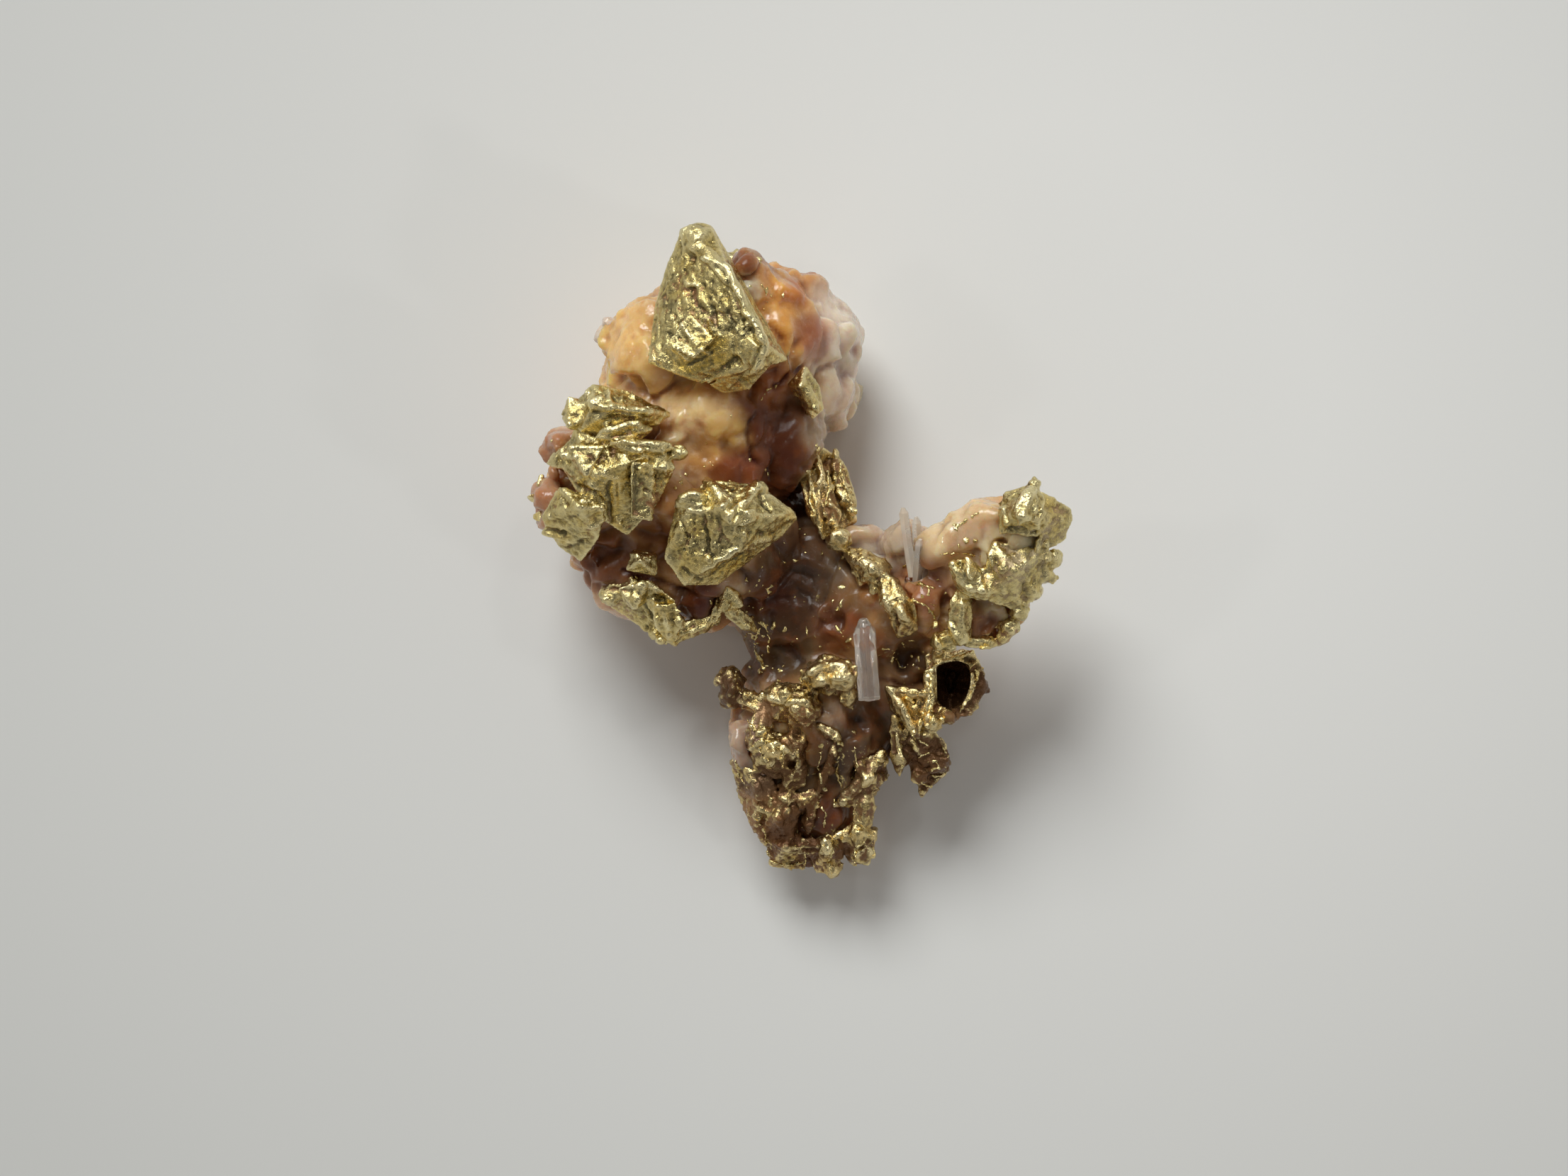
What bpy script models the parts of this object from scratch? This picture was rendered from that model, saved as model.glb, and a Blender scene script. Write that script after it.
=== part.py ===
"""Crystallised gold nugget: octahedral gold grown on and through iron-stained quartz.

The nugget lies on the broken back of its quartz. Metres, +Z up. X runs across it, and Y along it
from the foot to the crown. The origin is on the ground, under the middle of its outline.
Places and sizes in the groups of grains below are in millimetres, turned into metres with each mesh.
"""

import math

import bmesh
import bpy
from mathutils import Matrix, Vector, noise

MM = 0.001

# Driving dimensions, in millimetres.
FIT_GAP = 0.05  # between a crystal and the quartz that holds it
PRISM_RADIUS = 0.27  # of the clear quartz prism
SPRAY_RADIUS = 0.11  # of the small quartz needles
TIP_SHARE = 1.1  # height of a prism's point, in radii
TIP_WIDTH = 0.35  # width of the blunt end of that point, in radii
QUARTZ_VOXEL = 0.13  # fineness at which the quartz lumps run together
QUARTZ_KEPT = 0.029  # share of those faces that is kept
LUMP_ROUGHNESS = 0.16  # of a quartz lump's radius
ROD_SIDES = 5  # of a gold bar
ROD_TAPER = 0.28  # share of a gold bar's length that each pointed end takes
KNOB_ROUGHNESS = 0.18  # of a gold knob's radius
COARSE_WAVES = 1.7  # of the two noises that roughen a knob or lump, per half-length
FINE_WAVES = 3.9
FINE_SHARE = 0.6  # height of the finer noise, against the coarser
NOISE_STEP = 3.7  # moves the noise on from one grain to the next
SMALL_KNOB = 0.27  # a knob under this half-length has fewer facets
GROUND_DEPTH = 3.0  # of the block that takes off what is under the ground
GROUND_WIDTH = 40.0

# Finishes: name, colour, roughness, metallic.
GOLD = ("gold", (0.83, 0.68, 0.34), 0.28, 1.0)
STAINED_QUARTZ = ("iron_stained_quartz", (0.62, 0.27, 0.11), 0.35, 0.0)
CLEAR_QUARTZ = ("clear_quartz", (0.90, 0.86, 0.87), 0.08, 0.0)

FACE_UP = Vector((1, 1, 1)).rotation_difference(Vector((0, 0, 1))).to_matrix()
UPPER_CORNER = FACE_UP @ Vector((1, 0, 0))
FIRST_CORNER = math.degrees(math.atan2(UPPER_CORNER.y, UPPER_CORNER.x))


# ---- grains: one crystal, needle, knob or lump each ----


def turned(heading=0.0, lean=0.0, toward=0.0):
    """A turn about the vertical by heading, then a lean of the top towards a compass direction."""
    axis = Vector((-math.sin(math.radians(toward)), math.cos(math.radians(toward)), 0))
    return Matrix.Rotation(math.radians(lean), 3, axis) @ Matrix.Rotation(math.radians(heading), 3, "Z")


def crystal(*corners):
    """A flat-faced crystal between the given corners."""
    return {"kind": "crystal", "corners": corners}


def octahedron(at, size, corner=0, lean=0, toward=0):
    """An octahedron with a face up, which has a corner in the given direction. Size is centre to corner."""
    shape = turned(0, lean, toward) @ Matrix.Rotation(math.radians(corner - FIRST_CORNER), 3, "Z") @ FACE_UP
    return {"kind": "octahedron", "at": at, "half": (size, size, size), "shape": shape}


def rod(start, end, width):
    """A five-sided bar from start to end, width across, with pointed ends."""
    start, end = Vector(start), Vector(end)
    along = end - start
    side = along.orthogonal().normalized() * width / 2
    corners = [start, end]
    for number in range(ROD_SIDES):
        across = Matrix.Rotation(math.tau * number / ROD_SIDES, 3, along) @ side
        corners += [start + ROD_TAPER * along + across, end - ROD_TAPER * along + across]
    return crystal(*corners)


def knob(at, half, heading=0, lean=0, toward=0):
    """A rounded, uneven ball of gold with one or three half-lengths."""
    half = half if isinstance(half, tuple) else (half, half, half)
    shape = turned(heading, lean, toward)
    detail = 1 if max(half) < SMALL_KNOB else 2
    return {"kind": "knob", "at": at, "half": half, "shape": shape, "detail": detail, "rough": KNOB_ROUGHNESS}


def lump(at, half, heading=0):
    """A rounded, uneven mass of quartz."""
    half = half if isinstance(half, tuple) else (half, half, half)
    shape = turned(heading)
    return {"kind": "knob", "at": at, "half": half, "shape": shape, "detail": 4, "rough": LUMP_ROUGHNESS}


def hull_of(bm, corners):
    vertices = [bm.verts.new(corner) for corner in corners]
    made = bmesh.ops.convex_hull(bm, input=vertices)
    inside = {v for v in made["geom_interior"] + made["geom_unused"] if isinstance(v, bmesh.types.BMVert)}
    bmesh.ops.delete(bm, geom=list(inside), context="VERTS")
    return [v for v in vertices if v.is_valid]


def roughened_ball(bm, grain):
    vertices = bmesh.ops.create_icosphere(bm, subdivisions=grain["detail"], radius=1.0)["verts"]
    offset = Vector(grain["at"]) * NOISE_STEP
    for vertex in vertices:
        coarse = noise.noise(vertex.co * COARSE_WAVES + offset)
        fine = noise.noise(vertex.co * FINE_WAVES + offset)
        vertex.co *= 1.0 + grain["rough"] * (coarse + FINE_SHARE * fine)
    return vertices


def add_grain(bm, grain, grow=0.0):
    """Adds a grain to an empty bm, in metres, with each of its faces moved out by grow."""
    if grain["kind"] == "crystal":
        vertices = hull_of(bm, grain["corners"])
    else:
        if grain["kind"] == "octahedron":
            vertices = bmesh.ops.create_uvsphere(bm, u_segments=4, v_segments=2, radius=1.0)["verts"]
        else:
            vertices = roughened_ball(bm, grain)
        place = Matrix.Translation(grain["at"]) @ (grain["shape"] @ Matrix.Diagonal(grain["half"])).to_4x4()
        bmesh.ops.transform(bm, matrix=place, verts=vertices)
    bmesh.ops.recalc_face_normals(bm, faces=bm.faces)
    bm.normal_update()
    moves = [(vertex, vertex.normal * vertex.calc_shell_factor() * grow) for vertex in vertices]
    for vertex, move in moves:
        vertex.co += move
    bmesh.ops.scale(bm, vec=(MM, MM, MM), verts=vertices)


# ---- the gold, group by group ----

CROWN = [
    crystal(
        (-2.46, 6.84, 5.05), (-2.18, 6.98, 4.95), (-1.82, 6.92, 4.85), (-1.64, 6.58, 4.85),
        (-2.78, 6.10, 4.85), (-3.04, 5.20, 4.75), (-3.16, 4.04, 5.25), (-2.05, 6.42, 5.60),
        (-1.50, 5.98, 5.95), (-1.24, 5.42, 6.10), (-0.74, 4.42, 6.18), (-0.94, 3.90, 5.85),
        (-2.50, 3.78, 5.40), (-2.05, 3.62, 5.35), (-0.24, 4.12, 4.95), (-1.42, 6.02, 4.80),
        (-1.80, 4.90, 2.90),
    ),
    knob((-2.11, 6.64, 5.05), (0.40, 0.36, 0.46)),
    rod((-2.14, 6.66, 5.42), (-1.24, 5.40, 6.18), 0.26),
    rod((-1.58, 6.04, 5.95), (-0.68, 4.36, 6.24), 0.26),
    rod((-0.72, 4.60, 6.18), (-1.02, 3.76, 5.80), 0.24),
    crystal(
        (-1.60, 3.42, 4.95), (-1.05, 3.50, 5.10), (-0.62, 3.98, 5.45), (-1.35, 3.80, 5.60),
        (-1.90, 3.60, 5.15), (-1.20, 3.90, 4.10),
    ),
    crystal(
        (-2.75, 4.42, 5.70), (-2.20, 4.10, 5.86), (-1.75, 4.52, 5.98), (-2.30, 5.10, 5.72),
        (-2.30, 4.60, 5.20),
    ),
]
REAR_CRYSTALS = [
    octahedron((-1.95, 6.10, 2.35), 0.72, corner=100, lean=60, toward=95),
    octahedron((-1.35, 6.22, 2.05), 0.50, corner=60, lean=70, toward=80),
    octahedron((-2.45, 5.98, 1.95), 0.48, corner=130, lean=65, toward=110),
    knob((-1.80, 6.05, 1.62), (0.34, 0.30, 0.30)),
]
LEFT_CLUSTER = [
    crystal(
        (-4.32, 3.60, 5.10), (-4.84, 3.10, 4.80), (-3.62, 3.46, 5.05), (-2.74, 2.98, 4.90),
        (-2.98, 2.74, 5.15), (-4.30, 3.16, 5.62), (-3.90, 3.08, 5.72), (-3.10, 3.00, 5.42),
        (-4.60, 2.60, 5.25), (-3.95, 2.60, 3.50),
    ),
    rod((-4.30, 2.46, 5.42), (-3.05, 2.66, 5.36), 0.44),
    rod((-4.00, 2.30, 5.72), (-2.55, 2.24, 5.52), 0.30),
    crystal(
        (-5.02, 1.90, 4.60), (-4.72, 2.70, 5.00), (-2.66, 2.30, 5.35), (-2.64, 1.74, 5.20),
        (-3.02, 1.00, 5.05), (-3.62, 0.42, 4.70), (-4.40, 0.90, 5.00), (-3.50, 1.95, 5.75),
        (-4.30, 1.70, 5.55), (-3.80, 1.50, 3.10),
    ),
    crystal(
        (-3.50, 1.95, 6.00), (-3.06, 1.92, 5.78), (-3.52, 0.78, 5.60), (-3.08, 0.72, 5.40),
        (-3.00, 1.40, 5.50), (-3.30, 1.35, 4.60),
    ),
    knob((-2.52, 2.15, 5.35), (0.20, 0.18, 0.24)),
    octahedron((-4.40, 2.05, 5.25), 0.52, corner=150, lean=12, toward=160),
    octahedron((-4.62, 2.95, 5.00), 0.48, corner=120, lean=14, toward=120),
    octahedron((-2.88, 1.92, 5.30), 0.34, corner=330, lean=18, toward=40),
    octahedron((-4.78, 2.05, 4.35), 0.56, corner=190, lean=30, toward=190),
    octahedron((-4.95, 0.66, 4.15), 0.56, corner=200, lean=30, toward=210),
    crystal(
        (-5.04, 1.44, 5.00), (-5.44, 0.82, 4.50), (-4.08, 0.98, 5.35), (-4.22, 0.36, 4.85),
        (-4.62, -0.12, 4.10), (-4.62, 1.02, 5.58), (-5.10, 0.20, 4.00), (-4.60, 0.60, 3.20),
    ),
]
LEFT_CLUSTER_PITS = [
    crystal(
        (-3.92, 1.60, 6.00), (-3.74, 1.60, 6.00), (-3.86, 0.50, 5.70), (-3.70, 0.50, 5.70),
        (-3.82, 1.50, 5.05), (-3.80, 0.70, 4.75),
    ),
    knob((-3.90, 2.14, 5.86), (0.15, 0.13, 0.26)),
]
MIDDLE_CRYSTAL = [
    crystal(
        (-2.58, 1.12, 5.15), (-1.95, 1.42, 5.15), (-1.74, 1.58, 5.05), (-0.85, 1.48, 4.95),
        (-0.10, 0.92, 4.75), (-0.03, 0.76, 4.65), (-2.30, 0.98, 5.48), (-1.60, 0.94, 5.74),
        (-1.05, 0.84, 5.70), (-0.45, 0.82, 5.25), (-2.82, -0.02, 4.95), (-2.42, -0.62, 4.55),
        (-1.72, -0.62, 4.40), (-1.08, -0.12, 4.60), (-0.35, 0.42, 4.60), (-2.02, -0.30, 5.15),
        (-1.25, 0.14, 5.36), (-1.40, 0.40, 3.10),
    ),
    rod((-1.96, 1.66, 5.05), (-1.40, 0.62, 5.86), 0.36),
    rod((-0.88, 1.60, 4.90), (-1.36, 0.60, 5.80), 0.32),
    rod((-2.62, 1.02, 5.28), (-1.80, 1.24, 5.44), 0.34),
    knob((-2.20, 1.16, 5.34), (0.28, 0.22, 0.26)),
    knob((-0.84, 1.40, 4.96), (0.20, 0.20, 0.24)),
]
MIDDLE_CRYSTAL_PITS = [
    knob((-1.16, 0.55, 5.82), (0.22, 0.12, 0.30), heading=-12),
    knob((-0.78, 0.42, 5.48), (0.16, 0.11, 0.26), heading=-20),
]
LOWER_RIM = [
    crystal(
        (-4.22, -0.95, 3.20), (-4.05, -0.62, 3.80), (-3.20, -0.55, 4.20), (-2.62, -0.95, 4.15),
        (-2.50, -1.62, 3.65), (-2.82, -1.90, 3.20), (-3.45, -1.35, 3.40), (-3.20, -0.90, 2.60),
    ),
    octahedron((-3.48, -0.80, 3.95), 0.42, corner=40, lean=10, toward=200),
    crystal(
        (-3.10, -1.05, 4.25), (-2.60, -1.00, 4.35), (-2.46, -1.50, 4.00), (-2.75, -1.86, 3.55),
        (-3.05, -1.50, 3.90), (-2.80, -1.40, 3.00),
    ),
    knob((-4.00, -0.85, 3.45), (0.28, 0.24, 0.36)),
    rod((-3.00, -1.80, 3.50), (-1.62, -1.30, 3.52), 0.38),
    rod((-1.95, -1.60, 3.40), (-1.55, -0.70, 3.75), 0.30),
    octahedron((-1.50, -0.92, 3.70), 0.40, corner=100, lean=16, toward=300),
    rod((-1.70, -0.95, 3.60), (-0.85, -1.65, 3.15), 0.32),
]
SMALL_CRYSTAL = [
    crystal(
        (-3.66, -0.30, 4.25), (-3.50, 0.12, 4.30), (-3.00, 0.04, 4.35), (-3.00, -0.44, 4.20),
        (-3.36, -0.12, 4.62), (-3.30, -0.15, 3.40),
    ),
]
SHOULDER_PLATE = [
    crystal(
        (0.13, 4.02, 4.20), (-0.22, 3.62, 4.20), (0.30, 2.92, 3.95), (0.52, 3.12, 3.90),
        (0.42, 3.62, 4.00), (0.06, 3.55, 4.60), (0.10, 3.50, 3.00),
    ),
    rod((0.05, 3.70, 4.50), (0.42, 3.00, 4.10), 0.22),
]
NECK = [
    crystal(
        (0.00, 2.32, 3.00), (0.45, 2.38, 2.85), (0.80, 2.15, 2.65), (1.12, 1.35, 2.65),
        (1.26, 0.76, 2.70), (0.50, 0.34, 3.05), (0.18, 1.30, 3.05), (0.60, 1.30, 1.50),
        (0.75, 0.40, 1.90),
    ),
    rod((0.02, 2.40, 2.92), (0.50, 0.40, 3.24), 0.40),
    rod((0.74, 2.30, 2.80), (1.20, 0.70, 2.95), 0.34),
    rod((0.38, 2.20, 2.95), (0.85, 0.40, 3.25), 0.32),
    knob((0.86, 0.34, 3.42), (0.26, 0.26, 0.34)),
    crystal(
        (1.00, -0.02, 3.45), (1.42, 0.12, 3.50), (1.95, -0.18, 3.35), (1.90, -0.50, 3.30),
        (1.30, -0.62, 3.45), (1.00, 0.20, 3.30), (1.42, -0.22, 3.92), (1.45, -0.25, 2.40),
    ),
    knob((1.62, -0.30, 3.55), (0.34, 0.28, 0.36)),
    crystal(
        (1.72, -0.70, 3.85), (2.00, -0.50, 3.95), (2.28, -0.85, 4.05), (2.52, -1.05, 3.85),
        (2.54, -1.60, 3.65), (2.10, -1.78, 3.55), (1.92, -1.20, 3.75), (2.22, -1.20, 4.28),
        (2.10, -1.10, 2.60),
    ),
    rod((1.50, -0.35, 3.50), (2.20, -0.80, 3.90), 0.44),
    rod((1.72, -1.02, 3.90), (2.35, -0.88, 4.10), 0.26),
]
ARM = [
    crystal(
        (4.22, 0.95, 5.10), (4.38, 1.34, 4.85), (4.98, 1.52, 5.05), (5.20, 1.15, 5.05),
        (4.72, 1.10, 5.62), (5.02, 0.74, 5.50), (4.24, 0.46, 5.10), (5.06, 0.38, 5.00),
        (4.70, 0.80, 3.90),
    ),
    crystal(
        (5.10, 1.35, 4.80), (5.33, 1.19, 4.75), (5.76, 0.98, 4.45), (5.80, 0.76, 4.40),
        (5.60, 0.28, 4.35), (5.00, 0.05, 4.80), (5.22, 0.80, 5.10), (5.00, 0.60, 3.70),
    ),
    crystal(
        (4.12, 0.30, 4.85), (5.30, 0.10, 4.65), (5.48, -0.12, 4.30), (5.12, -0.68, 4.15),
        (4.70, -1.20, 4.05), (4.00, -0.95, 4.40), (3.95, -0.15, 4.80), (4.55, -0.35, 5.00),
        (4.60, -0.30, 3.20),
    ),
    crystal(
        (3.18, -0.20, 4.65), (3.60, -0.04, 4.75), (3.96, -0.35, 4.65), (3.92, -0.95, 4.35),
        (3.38, -0.85, 4.40), (3.55, -0.40, 5.08), (3.60, -0.50, 3.70),
    ),
    rod((3.25, -0.45, 4.60), (4.35, -0.75, 4.50), 0.60),
    rod((4.95, 1.40, 5.25), (4.60, 0.62, 5.72), 0.34),
    knob((5.44, -0.06, 4.15), (0.15, 0.16, 0.30)),
    knob((5.24, -0.42, 4.08), (0.17, 0.17, 0.32)),
    knob((4.98, -0.76, 4.00), (0.20, 0.18, 0.32)),
    knob((4.68, -1.18, 3.88), (0.20, 0.22, 0.32)),
    knob((4.50, -1.52, 3.72), (0.22, 0.20, 0.28)),
    rod((4.70, -1.25, 3.85), (4.20, -1.95, 3.55), 0.34),
    rod((4.35, -1.86, 3.60), (3.35, -1.80, 3.80), 0.30),
    knob((3.42, -1.66, 3.90), (0.26, 0.24, 0.30)),
    rod((3.45, -0.60, 4.30), (3.40, -1.85, 3.90), 0.52),
    rod((3.50, -1.60, 3.95), (2.78, -1.92, 3.75), 0.34),
    knob((2.98, -1.84, 3.80), (0.18, 0.18, 0.22)),
]
SPUR = [
    crystal(
        (2.74, -2.10, 3.10), (3.00, -2.02, 3.20), (3.76, -2.08, 3.10), (4.00, -2.55, 2.95),
        (4.02, -2.85, 2.85), (3.74, -3.36, 2.85), (3.10, -3.62, 3.00), (2.76, -3.30, 3.15),
        (3.00, -2.20, 1.50), (3.60, -2.30, 1.60), (3.40, -3.20, 1.40), (2.80, -3.00, 1.35),
    ),
    crystal(
        (1.84, -2.80, 3.05), (2.90, -2.88, 3.20), (2.58, -3.78, 3.00), (1.98, -3.30, 2.90),
        (2.40, -3.20, 1.60),
    ),
    knob((3.93, -2.80, 2.75), (0.16, 0.18, 0.26)),
    knob((2.88, -3.54, 3.12), (0.20, 0.20, 0.24)),
    knob((3.20, -3.42, 3.05), (0.17, 0.17, 0.22)),
    crystal(
        (2.10, -3.70, 2.70), (2.90, -3.65, 2.80), (3.22, -4.20, 2.50), (3.26, -4.60, 2.30),
        (2.95, -4.90, 2.20), (2.68, -5.14, 1.95), (2.45, -4.70, 2.20), (2.50, -4.20, 2.75),
        (2.50, -3.90, 1.40), (2.85, -4.50, 1.30),
    ),
    knob((2.95, -4.42, 2.42), (0.28, 0.28, 0.26)),
    knob((2.62, -4.72, 2.30), (0.22, 0.20, 0.24)),
    knob((2.20, -4.22, 2.50), (0.22, 0.32, 0.34)),
    rod((2.05, -3.40, 2.95), (2.18, -4.78, 2.35), 0.30),
    rod((1.90, -2.75, 3.15), (2.62, -3.98, 3.00), 0.26),
]
SPUR_PITS = [
    crystal(
        (2.95, -2.24, 3.60), (3.64, -2.24, 3.60), (3.78, -2.72, 3.60), (3.56, -3.18, 3.60),
        (3.10, -3.34, 3.60), (2.95, -3.10, 3.60), (3.14, -2.46, 1.75), (3.46, -2.52, 1.85),
        (3.30, -3.00, 1.70),
    ),
    crystal(
        (2.06, -2.92, 3.60), (2.74, -2.98, 3.60), (2.56, -3.50, 3.60), (2.44, -3.10, 2.72),
    ),
    knob((2.78, -4.55, 2.62), (0.14, 0.12, 0.22)),
]
STEM = [
    # the bright lumps at its head
    knob((0.48, -2.58, 3.22), (0.38, 0.38, 0.44)),
    knob((0.88, -2.58, 3.30), (0.34, 0.38, 0.42)),
    knob((1.05, -2.98, 3.05), (0.18, 0.26, 0.36)),
    crystal(
        (-0.78, -2.95, 2.85), (-0.30, -2.72, 3.05), (0.40, -2.78, 3.10), (0.42, -3.30, 3.00),
        (0.10, -3.62, 2.85), (-0.70, -3.52, 2.75), (-0.10, -3.10, 3.45), (-0.20, -3.20, 1.90),
    ),
    knob((-0.42, -2.98, 3.08), (0.32, 0.24, 0.32)),
    knob((0.14, -3.30, 3.12), (0.34, 0.26, 0.34)),
    # its left side
    knob((-1.42, -2.84, 2.35), (0.24, 0.46, 0.52)),
    rod((-1.50, -2.90, 2.45), (-0.50, -3.35, 2.80), 0.46),
    rod((-0.72, -3.10, 2.75), (-0.88, -4.45, 2.75), 0.50),
    crystal(
        (-1.00, -3.95, 2.70), (-0.50, -3.78, 2.95), (0.02, -3.98, 2.85), (-0.02, -4.60, 2.65),
        (-0.45, -4.82, 2.50), (-1.00, -4.55, 2.45), (-0.55, -4.25, 3.30), (-0.50, -4.30, 1.50),
    ),
    crystal(
        (-0.20, -3.28, 3.00), (0.34, -3.60, 2.80), (0.14, -4.95, 2.45), (-0.40, -5.25, 2.25),
        (-0.30, -4.70, 2.70), (-0.08, -4.30, 2.95), (-0.15, -4.40, 1.50),
    ),
    crystal(
        (-1.48, -4.35, 2.10), (-1.10, -4.55, 2.50), (-0.50, -4.90, 2.35), (-0.35, -5.60, 2.05),
        (-0.95, -6.00, 1.60), (-1.20, -5.45, 1.65), (-0.88, -5.15, 2.50), (-0.80, -5.10, 1.10),
    ),
    crystal(
        (-0.95, -5.30, 2.00), (-0.40, -5.05, 2.40), (0.05, -5.50, 2.20), (-0.15, -6.10, 1.90),
        (-0.85, -6.10, 1.55), (-0.45, -5.65, 2.42), (-0.50, -5.60, 1.00),
    ),
    # its foot
    crystal(
        (-0.74, -6.10, 1.45), (-0.10, -5.95, 1.85), (0.36, -6.30, 1.75), (0.05, -6.78, 1.30),
        (-0.56, -6.76, 1.20), (-0.32, -6.30, 2.02), (-0.30, -6.40, 0.80),
    ),
    crystal(
        (0.10, -6.20, 1.65), (0.66, -6.02, 1.95), (0.98, -6.30, 1.80), (0.86, -6.86, 1.25),
        (0.40, -6.88, 1.20), (0.62, -6.36, 2.08), (0.50, -6.40, 0.70),
    ),
    crystal(
        (0.78, -6.00, 1.85), (1.35, -5.68, 2.10), (1.68, -6.00, 1.80), (1.62, -6.50, 1.45),
        (1.20, -6.76, 1.30), (0.95, -6.40, 1.60), (1.30, -6.05, 2.25), (1.30, -6.20, 0.80),
    ),
    knob((1.38, -6.42, 1.60), (0.26, 0.24, 0.32)),
    knob((0.72, -6.74, 1.35), (0.18, 0.24, 0.28)),
    # its right side
    crystal(
        (1.10, -5.35, 2.05), (1.58, -5.20, 1.95), (1.95, -4.74, 2.05), (1.80, -4.22, 2.45),
        (1.28, -4.40, 2.60), (1.45, -4.85, 2.75), (1.50, -4.80, 1.20),
    ),
    rod((1.45, -4.90, 2.25), (1.34, -6.05, 1.95), 0.46),
    # the ridges that cross the hollow between its sides
    rod((0.82, -3.90, 2.92), (0.38, -5.24, 2.32), 0.18),
    rod((1.44, -4.70, 2.62), (0.90, -5.36, 2.20), 0.22),
    rod((0.30, -3.55, 2.95), (0.95, -3.98, 2.85), 0.22),
    rod((-0.60, -5.26, 2.25), (0.60, -5.14, 2.28), 0.26),
    rod((0.72, -5.40, 2.14), (1.80, -5.00, 2.22), 0.28),
    rod((0.20, -6.05, 1.90), (0.30, -5.05, 2.35), 0.24),
]
STEM_PITS = [
    knob((-0.12, -4.47, 3.05), (0.13, 0.20, 0.40), heading=-20),
    knob((-0.72, -4.45, 3.00), (0.14, 0.10, 0.22)),
    knob((0.62, -2.80, 3.60), (0.14, 0.11, 0.20)),
]

# ---- the quartz ----

MATRIX = [
    # the head, from its flat back to the lit hollow between the two largest crystals
    lump((-2.10, 2.90, 2.20), (2.15, 2.50, 2.40)),
    lump((-2.00, 5.00, 2.80), (1.15, 1.25, 2.00)),
    lump((-0.55, 4.75, 3.20), (0.95, 1.45, 1.45)),
    lump((-1.12, 6.12, 3.95), (0.40, 0.36, 0.70)),
    lump((-0.90, 5.50, 3.90), (0.48, 0.60, 0.85)),
    lump((-3.15, 4.40, 3.30), (0.92, 1.10, 1.45)),
    lump((-3.96, 4.86, 3.60), (0.24, 0.20, 0.26)),
    lump((-4.12, 4.58, 3.60), (0.17, 0.22, 0.22)),
    lump((-2.00, 3.00, 4.20), (1.00, 0.62, 0.72), heading=-8),
    lump((-0.35, 2.60, 2.50), (0.90, 1.20, 1.45)),
    lump((-2.82, 1.15, 4.20), (0.42, 0.62, 0.66)),
    # the worn feet that it stands on
    lump((-2.60, 3.10, 0.90), (1.25, 1.30, 1.12)),
    lump((-2.90, -0.10, 0.90), (0.85, 0.80, 1.10)),
    lump((0.55, 3.90, 0.80), (0.72, 0.90, 0.98)),
    lump((0.30, -4.75, 0.70), (0.90, 0.95, 0.86)),
    # the pale crust behind it
    lump((0.10, 5.35, 2.30), (0.62, 0.72, 1.00)),
    lump((0.48, 4.60, 1.90), (0.78, 1.00, 1.35)),
    lump((0.62, 3.70, 1.50), (0.60, 0.95, 1.55)),
    # its left edge and its lower half
    lump((-5.02, 2.35, 3.75), (0.52, 0.40, 0.65)),
    lump((-5.32, 1.20, 3.70), (0.38, 0.42, 0.65)),
    lump((-3.60, 1.40, 2.40), (1.65, 1.70, 2.20)),
    lump((-3.20, -0.15, 2.30), (1.28, 1.20, 1.75)),
    lump((-4.15, -0.12, 3.40), (0.48, 0.46, 0.70)),
    lump((-1.60, 0.20, 2.40), (1.45, 1.70, 1.90)),
    lump((-2.10, -1.00, 3.00), (0.42, 0.45, 0.75)),
    # the dark saddle
    lump((0.05, -0.80, 1.70), (1.45, 2.00, 1.40)),
    lump((1.80, -1.00, 2.10), (1.30, 1.35, 1.35)),
    lump((1.60, 0.22, 2.30), (0.62, 0.48, 0.75)),
    lump((2.45, 0.15, 2.85), (0.62, 0.52, 0.75)),
    lump((2.66, -0.80, 3.20), (0.60, 0.66, 0.85)),
    # the arm
    lump((3.35, 0.40, 3.90), (0.88, 0.50, 0.72), heading=24),
    lump((3.98, 0.80, 4.15), (0.50, 0.42, 0.60), heading=24),
    lump((4.45, 0.45, 4.10), (0.75, 0.70, 0.80)),
    lump((3.80, -0.50, 3.50), (1.00, 0.80, 0.80)),
    lump((4.45, -0.95, 3.50), (0.50, 0.60, 0.50)),
    lump((3.92, -1.62, 3.50), (0.42, 0.30, 0.42)),
    # the stem
    lump((0.35, -3.10, 1.60), (1.35, 1.60, 1.45)),
    lump((2.25, -2.60, 1.80), (0.80, 1.30, 1.00)),
    lump((0.70, -3.42, 2.70), (0.32, 0.40, 0.42)),
    lump((-1.10, -3.90, 2.10), (0.42, 0.70, 0.72)),
    lump((0.35, -4.70, 1.15), (1.20, 1.10, 1.25)),
    lump((1.22, -4.02, 1.90), (0.74, 0.95, 0.85)),
    lump((0.60, -5.50, 1.75), (0.42, 0.48, 0.48)),
    lump((0.40, -5.80, 0.95), (0.85, 0.85, 0.80)),
]


# ---- turning grains into objects ----


def material_of(finish):
    name, colour, roughness, metallic = finish
    material = bpy.data.materials.get(name)
    if material is None:
        material = bpy.data.materials.new(name)
        material.use_nodes = True
        shader = material.node_tree.nodes["Principled BSDF"]
        shader.inputs["Base Color"].default_value = (*colour, 1.0)
        shader.inputs["Roughness"].default_value = roughness
        shader.inputs["Metallic"].default_value = metallic
    return material


def new_object(name, bm, collection, finish=None):
    mesh = bpy.data.meshes.new(name)
    bm.to_mesh(mesh)
    bm.free()
    if finish:
        mesh.materials.append(material_of(finish))
    made = bpy.data.objects.new(name, mesh)
    collection.objects.link(made)
    return made


def helper(name, bm, collection):
    """An object that only shapes others."""
    made = new_object(name, bm, collection)
    made.hide_render = True
    made.display_type = "WIRE"
    return made


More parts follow.
